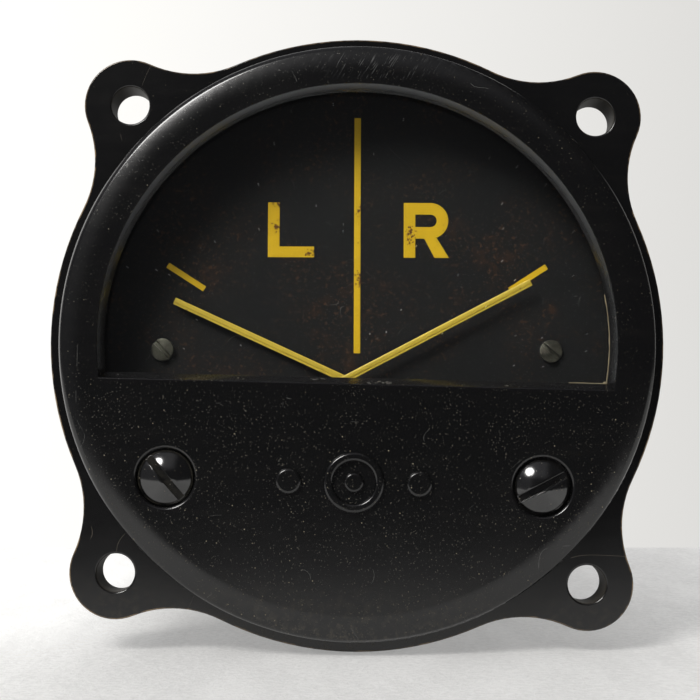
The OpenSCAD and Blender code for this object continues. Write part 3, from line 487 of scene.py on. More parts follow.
# Chips at the foot of the window: x, y and z, then half width and half height in millimetres,
# then strength
LEDGE_CHIPS = (
    (3.1, -10.2, -5.3, 2.6, 0.55, 1.0),
    (-5.2, -10.0, -5.0, 2.4, 0.35, 0.7),
    (-31.0, -10.0, -5.0, 2.6, 0.35, 0.7),
    (20.5, -10.0, -5.3, 3.4, 0.35, 0.6),
)

# Rust spots that stand out on the dial: x, z and radius in millimetres, then strength
RUST_SPOTS = (
    (18.4, 13.2, 3.6, 0.8),
    (13.2, 16.5, 2.4, 0.5),
    (26.6, 5.4, 1.3, 1.2),
    (33.2, 0.6, 1.8, 0.4),
    (-9.6, 12.4, 2.8, 0.35),
    (-2.2, 8.6, 2.2, 0.3),
    (-4.8, 5.2, 2.2, 0.3),
    (-19.6, 9.2, 3.2, 0.25),
)

# Most worn places of the yellow markings: x, z, half width and half height in millimetres
WORN_MARKINGS = (
    (-11.3, 16.2, 1.6, 1.3),
    (-11.2, 19.3, 1.6, 0.7),
    (-6.8, 12.6, 1.4, 1.2),
    (0.0, 18.6, 1.0, 1.6),
    (0.0, 9.2, 1.0, 2.2),
    (7.0, 15.5, 1.2, 2.4),
)

# Worked metals: colour, least roughness, tarnished colour, grain in waves for each metre, dirt
METALS = {
    "nickel": ((0.14, 0.137, 0.106), 0.24, (0.018, 0.017, 0.012), 900, 0.6),
    "brass": ((0.66, 0.46, 0.18), 0.26, (0.4, 0.25, 0.09), 1500, 0.3),
    "steel": ((0.45, 0.45, 0.45), 0.28, (0.3, 0.29, 0.28), 1600, 0.25),
    "magnet_steel": ((0.2, 0.2, 0.21), 0.4, (0.11, 0.1, 0.1), 900, 0.4),
    "soft_iron": ((0.34, 0.34, 0.35), 0.35, (0.22, 0.2, 0.19), 1200, 0.35),
    "spring_bronze": ((0.62, 0.37, 0.16), 0.2, (0.5, 0.27, 0.1), 2000, 0.1),
    "tinned_brass": ((0.6, 0.6, 0.56), 0.3, (0.42, 0.41, 0.37), 1200, 0.2),
}
METAL_GRIME = (0.06, 0.05, 0.04)

# Height of the dome on a screw's head, in parts of the bump depth of the metals
HEAD_DOME = 50

# Radians of the pattern for each metre, on the coils and on the braided sleeving
WINDING = 31000
BRAIDING = 5200

FINISHES = {}


def finish_of(slot):
    """The material of a record slot, made when it is first asked for."""
    if slot not in FINISHES:
        made = MAKERS[slot]() if slot in MAKERS else metal(slot)
        FINISHES[slot] = made.material
    return FINISHES[slot]


def toned(colour, share):
    """A colour made darker or brighter by a share."""
    return tuple(part * share for part in colour)


def phenolic(name="phenolic", worn=0.0):
    """Black moulded phenolic: polished, with smudges, dust, lint and knocked edges.
    On a worn edge the brown filler shows through, and its pale colour also paints a highlight
    along the rims. A grey film on the slope round the window also paints a reflection."""
    look = bpy.context.scene.indicator_moulding
    black = tuple(look.colour)
    finish = Finish(name, base_color=black, roughness=0.3, ior=1.57)
    depth = finish.axis("Y")
    level = finish.axis("Z")
    front = depth.rise(SHOULDER_BACK, SHOULDER_FRONT)
    flange = depth.rise(SHOULDER_BACK, -7 * MM) * depth.rise(0.0, -2 * MM)
    low = level.rise(-4 * MM, -12 * MM)
    smudge = finish.noise(60, 4.0, 0.6)
    fine = finish.noise(900, 3.0, 0.6)
    streak = finish.noise(120, 4.0, 0.65, place=finish.moved(turn=(0, 0.5, 0), stretch=(1, 1, 6)))
    near = finish.noise(160, 3.0).rise(0.36, 0.64)
    dust = finish.noise(4400, 1.0, 0.5).rise(0.665, 0.785)
    dust = dust * (front * (0.45 + 0.55 * low) * (0.45 + 0.55 * near)) * look.dust
    dust = dust.at_most(1.0)
    grit = finish.specks(640, 0.42, 0.065)
    grit = grit * (0.15 + 0.85 * front * (0.4 + 0.6 * low)) * look.dust
    ornament = finish.patch((0, -10, ADJUSTER_AT[1] / MM), (18, 6, 7), 0.3)
    lint = finish.hairs(190, 0.0014, 330, 0.27) * front * (1 - ornament)
    scratch = finish.hairs(85, 0.0007, 140, 0.4) * flange
    film = streak.rise(0.5, 0.75) * 0.02 + smudge.rise(0.45, 0.8) * 0.015
    foot = level.rise(-30 * MM, -41 * MM) * finish.noise(1100, 4.0, 0.75).rise(0.46, 0.64)
    slope = window_slope(finish)
    scuffed = scuffs(finish)
    chips = ledge_chips(finish)
    drilled = lug_holes(finish)
    colour = finish.coat(black, (film, SMUDGE))
    # Brown filler on rubbed edges; its pale colour also paints a highlight along the rims
    if worn:
        rubbed = finish.noise(130, 4.0, 0.7).rise(0.38, 0.62)
        rubbed = rubbed * finish.noise(900, 3.0).rise(0.3, 0.6)
        colour = finish.coat(colour, (rubbed * worn, FILLER_AND_RIM_HIGHLIGHT))
    colour = finish.coat(
        colour,
        (foot * 0.12, FOOT_DIRT),
        (dust * 0.4, TAN_DUST),
        (grit * 0.7, PALE_GRIT),
        (lint * 0.45, LINT),
        (scratch * 0.6, SCRATCH),
        # Dust and painted reflection on the window slope
        (slope * (0.7 + 0.3 * smudge), SLOPE_FILM_AND_REFLECTION),
        (scuffed * 0.35, SCUFF),
        (chips * 0.8, CHIP),
        (drilled * (0.4 + 0.5 * fine), DRILLED_WALL),
    )
    rough = look.roughness + 0.08 * smudge + 0.05 * streak + 0.02 * fine
    rough = rough + 0.5 * dust.at_least(grit) + 0.1 * foot + 0.5 * chips + 0.45 * drilled
    rough = rough + 0.3 * slope + 0.3 * scratch + 0.3 * scuffed
    height = 0.3 * finish.noise(220, 3.0) + 0.1 * fine + 0.5 * dust + 0.6 * grit - 1.2 * chips
    finish.surface(height, 0.04 * MM, 0.5, base_color=colour, roughness=rough.at_most(0.95))
    return finish


def lug_holes(finish):
    """The drilled walls of the four lug holes, where the moulding is dull."""
    folded = finish.vector("ABSOLUTE", finish.coords())
    away = finish.vector("SUBTRACT", folded, (LUG_HOLE_AT, 0, LUG_HOLE_AT))
    distance = finish.length(finish.vector("MULTIPLY", away, (1, 0, 1)))
    return distance.rise(LUG_HOLE_R + 0.12 * MM, LUG_HOLE_R + 0.02 * MM)


def window_slope(finish):
    """Grey film on the slope round the window, thickest at the top and by its outer edge: partly dust, partly a
    painted reflection.
    """
    radius = finish.length(finish.vector("MULTIPLY", finish.coords(), (1, 0, 1)))
    level = finish.axis("Z")
    behind = finish.axis("Y").rise(PANEL_FRONT + 0.02 * MM, PANEL_FRONT + 0.2 * MM)
    inside = radius.rise(WINDOW_R + 1.1 * MM, WINDOW_R + 1.0 * MM)
    above = level.rise(SILL, SILL + 0.6 * MM)
    settled = 0.3 + 0.7 * level.rise(6 * MM, 31 * MM)
    edge = 0.2 + 0.8 * radius.rise(WINDOW_R + 0.1 * MM, WINDOW_R + 0.7 * MM)
    return behind * inside * above * settled * edge


def scuffs(finish):
    """Fine slanting scuffs across the top of the shoulder."""
    sockets = {"Vector": finish.coords(), "Angle": -0.5}
    slanted = finish.node("ShaderNodeVectorRotate", {"rotation_type": "Y_AXIS"}, sockets)
    place = finish.vector("MULTIPLY", slanted, (9, 1, 0.7))
    area = finish.patch((2, -10.4, 36.8), (13, 2, 2.4), 0.7)
    return finish.noise(700, 2.0, 0.6, place=place).rise(0.55, 0.75) * area


def ledge_chips(finish):
    """Pale chips and scuffs along the edge where the panel meets the window."""
    worn = 0
    for x, y, z, wide, high, strength in LEDGE_CHIPS:
        worn = worn + strength * finish.patch((x, y, z), (wide, 1.5, high), 0.8)
    ragged = finish.noise(900, 4.0, 0.7)
    return (worn * ragged.rise(0.44, 0.64)).rise(0.2, 0.7)


def window_glass():
    """Clear flat glass with a little dust on it."""
    clear = (0.97, 0.985, 0.98)
    finish = Finish(
        "window_glass", base_color=clear, roughness=0.02, ior=1.5, transmission_weight=1.0
    )
    dust = finish.specks(520, 0.2, 0.045) + 0.5 * finish.hairs(160, 0.001, 380, 0.32)
    dust = dust.at_most(1.0)
    colour = finish.blend(dust * 0.7, clear, (0.5, 0.5, 0.48))
    finish.drive(base_color=colour, roughness=0.02 + 0.5 * dust)
    finish.pass_light()
    return finish


def sealing_compound():
    """Dried tan putty, darker where dirt has stuck."""
    finish = Finish("sealing_compound", base_color=(0.22, 0.18, 0.1), roughness=0.75)
    lump = finish.noise(900, 4.0, 0.6)
    dirt = finish.noise(350, 3.0).rise(0.45, 0.7)
    putty = finish.blend(lump, (0.17, 0.14, 0.075), (0.28, 0.235, 0.14))
    colour = finish.coat(putty, (dirt * 0.6, (0.06, 0.045, 0.025)))
    finish.surface(lump, 0.15 * MM, base_color=colour, roughness=0.6 + 0.3 * lump)
    return finish


def dial_black():
    """Matt black paint with rust showing through in mottled patches."""
    look = bpy.context.scene.indicator_dial
    black = tuple(look.colour)
    finish = Finish("dial_black", base_color=black, roughness=0.62, specular_ior_level=0.1)
    broad = finish.noise(95, 3.0, 0.6, place=finish.moved((4 * MM, 0, 11 * MM)))
    spot = finish.noise(620, 5.0, 0.68, 0.4)
    mottled = spot.rise(0.42, 0.62)
    low = 0.45 + 0.55 * finish.axis("Z").rise(24 * MM, 4 * MM)
    rust = broad.rise(0.46, 0.72) * spot.rise(0.47, 0.66) * low * look.rust
    flecked = broad.rise(0.4, 0.6) * look.rust
    for x, z, radius, strength in RUST_SPOTS:
        spread = finish.patch((x, DIAL_FRONT / MM, z), (radius, radius, radius), 0.9)
        rust = rust + strength * spread * mottled
        flecked = flecked + strength * spread
    rust = rust.at_most(1.0)
    flecks = finish.noise(1700, 3.0, 0.65).rise(0.56, 0.66) * flecked.at_most(1.0)
    dust = finish.specks(700, 0.2, 0.06) + 0.6 * finish.hairs(200, 0.0015, 420, 0.3)
    dust = dust.at_most(1.0)
    haze = finish.noise(40, 2.0).rise(0.35, 0.75)
    colour = finish.coat(
        black,
        (haze * 0.15, PAINT_HAZE),
        (rust * 0.55, RUST),
        (flecks * 0.8, RUST_FLECK),
        (dust * 0.6, DIAL_DUST),
    )
    rough = (0.55 + 0.2 * rust + 0.12 * spot + 0.2 * dust).at_most(0.95)
    height = 0.7 * rust + 0.3 * spot + 0.5 * dust
    finish.surface(height, 0.04 * MM, 0.6, base_color=colour, roughness=rough)
    return finish


def dial_yellow():
    """Screened yellow paint, chipped down to the rusty dial in places."""
    yellow = tuple(bpy.context.scene.indicator_dial.yellow)
    finish = Finish("dial_yellow", base_color=yellow, roughness=0.5, specular_ior_level=0.12)
    tone = finish.noise(260, 3.0, 0.6)
    fine = finish.noise(2200, 4.0, 0.7)
    everywhere = finish.noise(240, 2.0).rise(0.56, 0.72)
    worn = 0
    for x, z, wide, high in WORN_MARKINGS:
        worn = worn + finish.patch((x, DIAL_FRONT / MM, z), (wide, 3, high), 0.8)
    holes = (fine + 0.16 * worn + 0.05 * everywhere).rise(0.64, 0.69)
    stain = finish.noise(700, 3.0).rise(0.56, 0.75) * 0.35
    colour = finish.blend(tone, toned(yellow, 0.93), toned(yellow, 1.06))
    colour = finish.coat(colour, (stain, YELLOW_STAIN), (holes, BARE_RUST))
    rough = 0.42 + 0.15 * tone + 0.3 * holes
    finish.surface(0.4 * tone - holes, 0.04 * MM, 0.7, base_color=colour, roughness=rough)
    return finish


def pointer_yellow():
    """Yellow paint on thin metal, brushed on along the pointer."""
    yellow = tuple(bpy.context.scene.indicator_pointers.colour)
    finish = Finish("pointer_yellow", base_color=yellow, roughness=0.42, specular_ior_level=0.25)
    tone = finish.noise(220, 3.0, 0.6)
    brush = finish.noise(1600, 2.0, 0.6)
    spots = finish.specks(900, 0.12, 0.2)
    colour = finish.coat(
        finish.blend(tone, toned(yellow, 0.9), toned(yellow, 1.08)),
        (brush.rise(0.55, 0.75) * 0.3, (0.45, 0.3, 0.05)),
        (spots * 0.7, (0.12, 0.06, 0.02)),
    )
    height = 0.5 * brush + 0.5 * tone
    finish.surface(height, 0.02 * MM, 0.6, base_color=colour, roughness=0.36 + 0.14 * tone)
    return finish


def metal(name, metallic=1.0, domed=""):
    """A worked metal: fine grain, uneven tarnish and dirt that has settled.
    A node named as domed is a pair of screws whose flat heads are given a slight dome."""
    colour, roughness, tarnished, grain, dirt = METALS[name]
    finish = Finish(name, base_color=colour, roughness=roughness, metallic=metallic)
    tarnish = finish.noise(320, 4.0, 0.62)
    lines = finish.noise(grain, 2.0, 0.6, place=finish.moved(turn=(0, 0.6, 0), stretch=(1, 1, 7)))
    grime = finish.noise(800, 3.0).rise(0.52, 0.74)
    shade = finish.coat(colour, (tarnish.rise(0.35, 0.7), tarnished), (grime * dirt, METAL_GRIME))
    rough = roughness + 0.16 * tarnish + 0.08 * lines + 0.3 * dirt * grime
    height = 0.6 * lines + 0.4 * tarnish
    if domed:
        height = height + HEAD_DOME * head_dome(finish, domed)
    finish.surface(height, 0.01 * MM, 0.6, base_color=shade, roughness=rough.at_most(0.9))
    return finish


def head_dome(finish, node):
    """From nothing at the rim to one at the middle of each of two like screw heads."""
    low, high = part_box(node)
    radius = (high.z - low.z) / 2
    centre = (high.x - radius, 0, low.z + radius)
    sockets = {"X": abs(finish.axis("X")), "Z": finish.axis("Z")}
    folded = finish.node("ShaderNodeCombineXYZ", None, sockets)
    return 1 - (finish.length(finish.vector("SUBTRACT", folded, centre)) / radius) ** 2.0


def nickel():
    """Dull nickel plate, with a dome on the heads of the dial screws."""
    return metal("nickel", 0.8, "dial_screws")


def adjuster_black():
    """Glossy black lacquer, rubbed and dusty on its dome and in the slot."""
    look = bpy.context.scene.indicator_adjusters
    black = tuple(look.colour)
    finish = Finish("adjuster_black", base_color=black, roughness=0.14, ior=1.8)
    cloud = finish.noise(420, 4.0, 0.6)
    dust = finish.specks(1500, 0.3, 0.15)
    deep = finish.axis("Y").rise(-10.2 * MM, -9.7 * MM)
    left = finish.axis("X").rise(0.0, -2 * MM)
    dirt = deep * finish.noise(700, 3.0).rise(0.3, 0.6) * (0.15 + 0.85 * left)
    colour = finish.coat(
        black,
        (cloud.rise(0.5, 0.8) * 0.3, (0.02, 0.019, 0.017)),
        (dust * 0.4, (0.3, 0.25, 0.16)),
        (dirt * 0.6, (0.17, 0.155, 0.11)),
    )
    rough = (look.roughness + 0.05 * cloud + 0.4 * dust + 0.4 * dirt).at_most(0.95)
    height = 0.5 * cloud + 0.6 * dust
    finish.surface(height, 0.02 * MM, 0.5, base_color=colour, roughness=rough)
    return finish


def black_lacquer():
    """Matt black lacquer on brass."""
    black = (0.02, 0.02, 0.02)
    finish = Finish("black_lacquer", base_color=black, roughness=0.55)
    cloud = finish.noise(300, 4.0, 0.6)
    rubbed = finish.noise(900, 4.0, 0.7).rise(0.66, 0.74)
    colour = finish.coat(black, (rubbed, (0.3, 0.2, 0.08)))
    finish.surface(cloud, 0.02 * MM, base_color=colour, roughness=0.45 + 0.25 * cloud)
    return finish


def copper():
    """Enamelled copper wire, wound in close turns."""
    finish = Finish("copper", base_color=(0.55, 0.2, 0.1), roughness=0.3, metallic=0.7)
    turns = (finish.axis("Y") * WINDING).math("SINE")
    tone = finish.noise(300, 3.0)
    colour = finish.blend(tone, (0.5, 0.17, 0.08), (0.62, 0.25, 0.12))
    finish.surface(0.5 + 0.5 * turns, 0.03 * MM, base_color=colour, roughness=0.25 + 0.15 * tone)
    return finish


def fibre():
    """Red-brown vulcanised fibre."""
    finish = Finish("fibre", base_color=(0.3, 0.12, 0.05), roughness=0.6)
    strands = finish.noise(900, 4.0, 0.7, place=finish.moved(stretch=(1, 5, 1)))
    colour = finish.blend(strands, (0.2, 0.08, 0.04), (0.36, 0.16, 0.07))
    finish.surface(strands, 0.03 * MM, base_color=colour, roughness=0.5 + 0.25 * strands)
    return finish


def gasket_rubber():
    """Aged black rubber."""
    finish = Finish("gasket_rubber", base_color=(0.03, 0.025, 0.02), roughness=0.8)
    grain = finish.noise(1500, 4.0, 0.6)
    bloom = finish.noise(250, 3.0).rise(0.45, 0.75)
    colour = finish.blend(bloom * 0.5, (0.025, 0.022, 0.02), (0.09, 0.08, 0.065))
    finish.surface(grain, 0.03 * MM, base_color=colour, roughness=0.7 + 0.2 * grain)
    return finish


def wire_sleeving():
    """Red varnished cotton sleeving with its braid showing."""
    finish = Finish("wire_sleeving", base_color=(0.35, 0.05, 0.04), roughness=0.45)
    x, y, z = (finish.axis(name) * BRAIDING for name in "XYZ")
    braid = 0.5 + 0.5 * (x + z).math("SINE") * (x - y).math("SINE")
    colour = finish.blend(braid, (0.24, 0.03, 0.025), (0.42, 0.07, 0.05))
    finish.surface(braid, 0.05 * MM, base_color=colour, roughness=0.35 + 0.2 * braid)
    return finish


# The function that makes the finish of the slot of its name. The other slots are plain metals.
MAKERS = {
    make.__name__: make
    for make in (
        phenolic,
        window_glass,
        sealing_compound,
        black_lacquer,
        dial_black,
        dial_yellow,
        pointer_yellow,
        nickel,
        adjuster_black,
        copper,
        fibre,
        gasket_rubber,
        wire_sleeving,
    )
}


# Settings


def number_setting(name, description, default, **limits):
    """A setting that is a number, from nothing upwards unless the limits say otherwise."""
    limits = {"min": 0.0, **limits}
    return bpy.props.FloatProperty(name=name, description=description, default=default, **limits)


def length_setting(name, description, default):
    """A setting that is a length."""
    return number_setting(name, description, default, unit="LENGTH")


def share_setting(name, description, default):
    """A setting from nothing to all."""
    return number_setting(name, description, default, max=1.0, subtype="FACTOR")


def colour_setting(name, description, *parts):
    """A setting that is a colour."""
    return bpy.props.FloatVectorProperty(
        name=name, description=description, default=parts, subtype="COLOR"
    )


class IndicatorMoulding(bpy.types.PropertyGroup):
    """Front moulding."""

    edge: length_setting("Edge softness", "Radius of the rounding on moulded corners", 0.18 * MM)
    sill_edge: length_setting(
        "Sill softness", "Radius of the rounding along the foot of the window", 0.5 * MM
    )
    recess_edge: length_setting(
        "Recess softness", "Radius of the rounding round the adjusters' recesses", 0.4 * MM
    )
    ornament_edge: length_setting(
        "Ornament softness", "Radius of the rounding on the raised ornament", 0.4 * MM
    )
    colour: colour_setting("Phenolic", "Colour of the black moulding", 0.0032, 0.0032, 0.0035)
    roughness: share_setting("Roughness", "Least roughness of the polished moulding", 0.11)
    # The brown filler on rubbed edges also paints a highlight along the rims
    wear: share_setting("Edge wear", "How much brown filler shows on rubbed edges", 0.75)
    dust: share_setting("Dust", "Amount of tan dust on the front", 1.0)


class IndicatorWindow(bpy.types.PropertyGroup):
    """Window glass and its sealing bead."""

    edge: length_setting("Glass edge", "Width of the ground edge of the glass", 0.1 * MM)
    bead: length_setting("Bead radius", "Radius of the bead of compound along the glass", 0.09 * MM)
    bead_start: length_setting(
        "Bead start", "Height above the centre at which the bead begins", 7.2 * MM
    )
    bead_foot: length_setting("Bead foot", "How far the bead runs in along the sill", 5.0 * MM)


class IndicatorDial(bpy.types.PropertyGroup):
    """Dial, its markings and its screws."""

    colour: colour_setting("Dial black", "Colour of the matt dial paint", 0.0054, 0.0056, 0.0057)
    yellow: colour_setting("Marking yellow", "Colour of the markings", 0.47, 0.3, 0.007)
    rust: share_setting("Rust", "Amount of rust that shows through the paint", 0.65)
    screw_edge: length_setting("Screw edge", "Rounding of the dial screws' edges", 0.1 * MM)


class IndicatorPointers(bpy.types.PropertyGroup):
    """Folded faces of the two pointers."""

    colour: colour_setting("Pointer yellow", "Colour of the painted pointers", 0.4, 0.29, 0.026)
    taper: number_setting(
        "Taper", "Width of a pointer near its pivot over its width at the tip", 1.04, min=1.0
    )
    dome: length_setting("Dome", "Height of the rounded upper face", 0.08 * MM)
    groove: length_setting(
        "Groove", "Depth of the crease between the upper face and the lip", 0.12 * MM
    )


class IndicatorAdjusters(bpy.types.PropertyGroup):
    """Zero adjusters."""

    colour: colour_setting("Adjuster black", "Colour of the glossy adjusters", 0.004, 0.004, 0.0042)
    roughness: share_setting("Roughness", "Least roughness of the gloss", 0.1)
    edge: length_setting("Edge softness", "Rounding of the rim and of the slot", 0.07 * MM)


class IndicatorRear(bpy.types.PropertyGroup):
    """Rear case and its fittings."""

    case_edge: length_setting("Case edge", "Rounding of the case's corners", 0.35 * MM)
    fitting_edge: length_setting("Fitting edge", "Rounding of the metal fittings", 0.12 * MM)


class IndicatorStudio(bpy.types.PropertyGroup):
    """Floor, lamp, surroundings and room."""

    floor: colour_setting("Floor", "Colour of the pale floor", 0.84, 0.835, 0.825)
    floor_back: length_setting("Floor behind", "Reach of the floor behind the flange", 0.137)
    floor_front: length_setting("Floor in front", "Reach of the floor before the flange", 0.185)
    backdrop: colour_setting("Backdrop", "Colour behind the object", 0.9, 0.89, 0.865)
    room: colour_setting(
        "Room", "Dark room in front of the object that only reflections show", 0.04, 0.04, 0.042
    )
    ceiling: number_setting(
        "Ceiling", "How much brighter the room is above the object and to its left", 5.5
    )
    lamp_power: number_setting("Lamp", "Power of the lamp at the upper left", 6.5, unit="POWER")
    lamp_size: length_setting("Lamp size", "Diameter of the round lamp", 0.34)
    lamp_distance: length_setting("Lamp distance", "Distance from the lamp to the object", 0.95)
    fill: number_setting("Fill", "Strength of the even light from all sides", 0.48)


# Pieces

# Sides of the round bead of compound before it is made lumpy
BEAD_SIDES = 10

# The strip that makes a pointer's folded face: where it starts as a share of the pointer's
# length, how deep it is, and how far its middle lies behind the pointer's flat front
FACE_START = 0.16
FACE_DEPTH = 0.34 * MM
FACE_MIDDLE = 0.13 * MM

# Rows along the folded face: height in half widths, then shares of the dome and of the groove
FACE_ROWS = (
    (-0.62, 0.0, 0.0),
    (-0.48, 0.0, 1.0),
    (-0.34, 0.6, 0.0),
    (0.1, 1.0, 0.0),
    (0.5, 1.0, 0.0),
    (0.85, 0.8, 0.0),
)


class INDICATOR_OT_moulding(bpy.types.Operator):
    """Softens the corners of the front moulding"""

    bl_idname = "indicator.moulding"
    bl_label = "Front moulding"

    def execute(self, context):
        look = context.scene.indicator_moulding
        piece = merged_copy("front_moulding_skin", "front_moulding")
        # Second finish for rubbed edges: worn brown filler that also paints a highlight along them
        piece.data.materials.append(phenolic("phenolic_worn_and_lit_edges", look.wear).material)

        def level(point, y):
            return abs(point.y - y) < LEVEL

        def by_hole(point):
            away = Vector((abs(point.x) - LUG_HOLE_AT, abs(point.z) - LUG_HOLE_AT))
            return away.length < LUG_HOLE_R + 0.45 * MM

        def hole(point):
            return by_hole(point) and level(point, FLANGE_FRONT)

        def outer(point):
            on_rim = point.xz.length > FLANGE_R - 0.1 * MM and not by_hole(point)
            return on_rim and (level(point, FLANGE_FRONT) or level(point, 0))

        def raised(point):
            return level(point, ORNAMENT_FRONT)

        def panel(point):
            across, up = ORNAMENT_HALF
            on_ornament = abs(point.x) < across and abs(point.z - ADJUSTER_AT[1]) < up
            return level(point, PANEL_FRONT) and not on_ornament

        def sill(point):
            by_window = abs(point.z - SILL) < 1.2 * MM and abs(point.x) < WINDOW_R + 1.5 * MM
            return level(point, PANEL_FRONT) and by_window

        def recess(point):
            away = Vector((abs(point.x) - ADJUSTER_AT[0], point.z - ADJUSTER_AT[1]))
            return level(point, PANEL_FRONT) and away.length < RECESS_ZONE

        def lip(point):
            return level(point, WINDOW_LIP)

        round_edges(piece, hole, 1.5 * look.edge, 3)
        # The outer rims and, below, the window lip take the second finish, with its painted edge highlight
        round_edges(piece, outer, look.edge, 3, material=1)
        round_edges(piece, raised, look.ornament_edge, 4)
        round_edges(piece, sill, look.sill_edge, 5)
        round_edges(piece, recess, look.recess_edge, 5)
        round_edges(piece, panel, look.edge, 4)
        round_edges(piece, lip, 0.5 * look.edge, 2, material=1)
        smooth_over(piece)
        dress(piece, "case", "phenolic", "front_moulding")
        return {"FINISHED"}


def bead_run(radius, track, front, start, stop):
    """A round bead spun about the middle of the window, from one angle to another."""
    clear_selection()
    bpy.ops.mesh.primitive_circle_add(
        vertices=BEAD_SIDES,
        radius=radius,
        fill_type="NGON",
        location=(track * math.cos(start), front, track * math.sin(start)),
        rotation=(0, -start, 0),
    )
    piece = bpy.context.object
    settle(piece)
    open_mesh(piece)
    bpy.ops.mesh.spin(steps=90, angle=stop - start, center=(0, front, 0), axis=(0, 1, 0))
    close_mesh()
    return piece


class INDICATOR_OT_window(bpy.types.Operator):
    """Grinds the edge of the glass and lays the bead of sealing compound"""

    bl_idname = "indicator.window"
    bl_label = "Window"

    def execute(self, context):
        look = context.scene.indicator_window
        soften("window_pane", "window_glass", "case", look.edge, 1)
        paint("glass_seal", "glass_retainer", "retainer_screws")
        self.lay_bead(look)
        return {"FINISHED"}

    def lay_bead(self, look):
        """Compound that has squeezed out at the right and along the end of the sill."""
        glass_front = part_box("window_glass")[0].y
        track = WINDOW_R - 0.4 * look.bead
        front = glass_front - 0.3 * look.bead
        start = math.asin(look.bead_start / track)
        stop = math.asin(SILL / track)
        side = bead_run(look.bead, track, front, start, stop)
        corner_x = track * math.cos(stop)
        clear_selection()
        bpy.ops.mesh.primitive_cylinder_add(
            vertices=BEAD_SIDES,
            radius=look.bead,
            depth=look.bead_foot,
            location=(corner_x - look.bead_foot / 2, front, SILL + 0.4 * look.bead),
            rotation=(0, math.pi / 2, 0),
        )
        foot = bpy.context.object
        settle(foot)
        open_mesh(foot)
        bpy.ops.mesh.subdivide(number_cuts=12)
        close_mesh()
        clear_selection()
        bpy.ops.mesh.primitive_ico_sphere_add(
            subdivisions=3,
            radius=3 * look.bead,
            location=(corner_x - 1.8 * look.bead, front, SILL + 1.2 * look.bead),
        )
        blob = bpy.context.object
        blob.scale = (1.2, 0.5, 0.8)
        settle(blob)
        bead = join("sealing_bead", [side, foot, blob])
        outward(bead)
        lumps = bpy.data.textures.new("compound_lumps", "CLOUDS")
        lumps.noise_scale = 0.9 * MM
        lift = 1.6 * look.bead
        add_modifier(bead, "DISPLACE", texture=lumps, strength=lift, texture_coords="LOCAL")
        bpy.ops.object.shade_smooth()
        dress(bead, "case", "sealing_compound")


class INDICATOR_OT_dial(bpy.types.Operator):
    """Paints the dial and its markings and rounds the dial screws"""

    bl_idname = "indicator.dial"
    bl_label = "Dial"

    def execute(self, context):
        paint("dial_plate", "dial_markings", "dial_posts")
        edge = context.scene.indicator_dial.screw_edge
        soften("dial_screw_heads", "dial_screws", "case", edge)
        return {"FINISHED"}


class INDICATOR_OT_pointers(bpy.types.Operator):
    """Folds the long face of each pointer: a rounded upper face, a crease and a lower lip"""

    bl_idname = "indicator.pointers"
    bl_label = "Pointers"

    def execute(self, context):
        look = context.scene.indicator_pointers
        for side in SIDES:
            self.fold(side, look)
            paint(side + "_pointer", side + "_pivot_staff")
            paint(side + "_moving_coil", side + "_balance_weights")
        return {"FINISHED"}

    def fold(self, side, look):
        """Shapes a flat strip over the CAD pointer, from past the hub to the tip."""
        node = side + "_pointer"
        pivot = pivot_of(side + "_pointer_turn")
        points = [vertex.co for vertex in frame["nodes"][node].data.vertices]
        reach = max((p.xz - pivot.xz).length for p in points)
        ends = [p for p in points if (p.xz - pivot.xz).length > reach - 0.05 * MM]
        corners = sorted(ends, key=lambda p: p.z)
        tip = (corners[0] + corners[-1]) / 2
        along = Vector((tip.x - pivot.x, 0, tip.z - pivot.z))
        length = along.length
        along.normalize()
        across = Vector((-along.z, 0, along.x))
        if across.z < 0:
            across = -across
        tip_half = max(abs((p - tip).dot(across)) for p in ends)
        start = FACE_START * length
        clear_selection()
        bpy.ops.mesh.primitive_cube_add(size=1)
        strip = bpy.context.object
        strip.scale = (length - start, FACE_DEPTH, 2 * tip_half)
        strip.location = ((length + start) / 2, FACE_MIDDLE, 0)
        settle(strip)
        open_mesh(strip)
        for height, _, _ in FACE_ROWS:
            bpy.ops.mesh.select_all(action="SELECT")
            where = (0, 0, height * tip_half)
            bpy.ops.mesh.bisect(plane_co=where, plane_no=(0, 0, 1), threshold=SAME)
        for height, dome, groove in FACE_ROWS:
            level = height * tip_half
            pick_vertices(strip, lambda p: p.y < 0 and abs(p.z - level) < LEVEL / 2)
            shift = groove * look.groove - dome * look.dome
            bpy.ops.transform.translate(value=(0, shift, 0))
        pick_vertices(strip, lambda p: p.x < start + LEVEL)
        bpy.ops.transform.resize(value=(1, 1, look.taper), center_override=(start, 0, 0))
        close_mesh()
        turn = Matrix((along, Vector((0, 1, 0)), across)).transposed().to_4x4()
        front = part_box(node)[0].y
        strip.matrix_world = Matrix.Translation((pivot.x, front, pivot.z)) @ turn
        settle(strip)
        outward(strip)
        bpy.ops.object.shade_smooth_by_angle(angle=FOLD_SMOOTH_BELOW)
        strip.name = side + "_pointer_face"
        strip.data.name = strip.name
        dress(strip, side + "_pointer_system", "pointer_yellow")


class INDICATOR_OT_adjusters(bpy.types.Operator):
    """Rounds the rims and slots of the zero adjusters and paints what they drive"""

    bl_idname = "indicator.adjusters"
    bl_label = "Zero adjusters"

    def execute(self, context):
        edge = context.scene.indicator_adjusters.edge
        for side in SIDES:
            node = side + "_zero_adjuster"
            soften(side + "_adjuster_head", node, side + "_adjuster", edge, 3)
            paint(side + "_adjuster_clip", side + "_zero_lever", side + "_front_hairspring")
        paint("adjuster_washers")
        return {"FINISHED"}


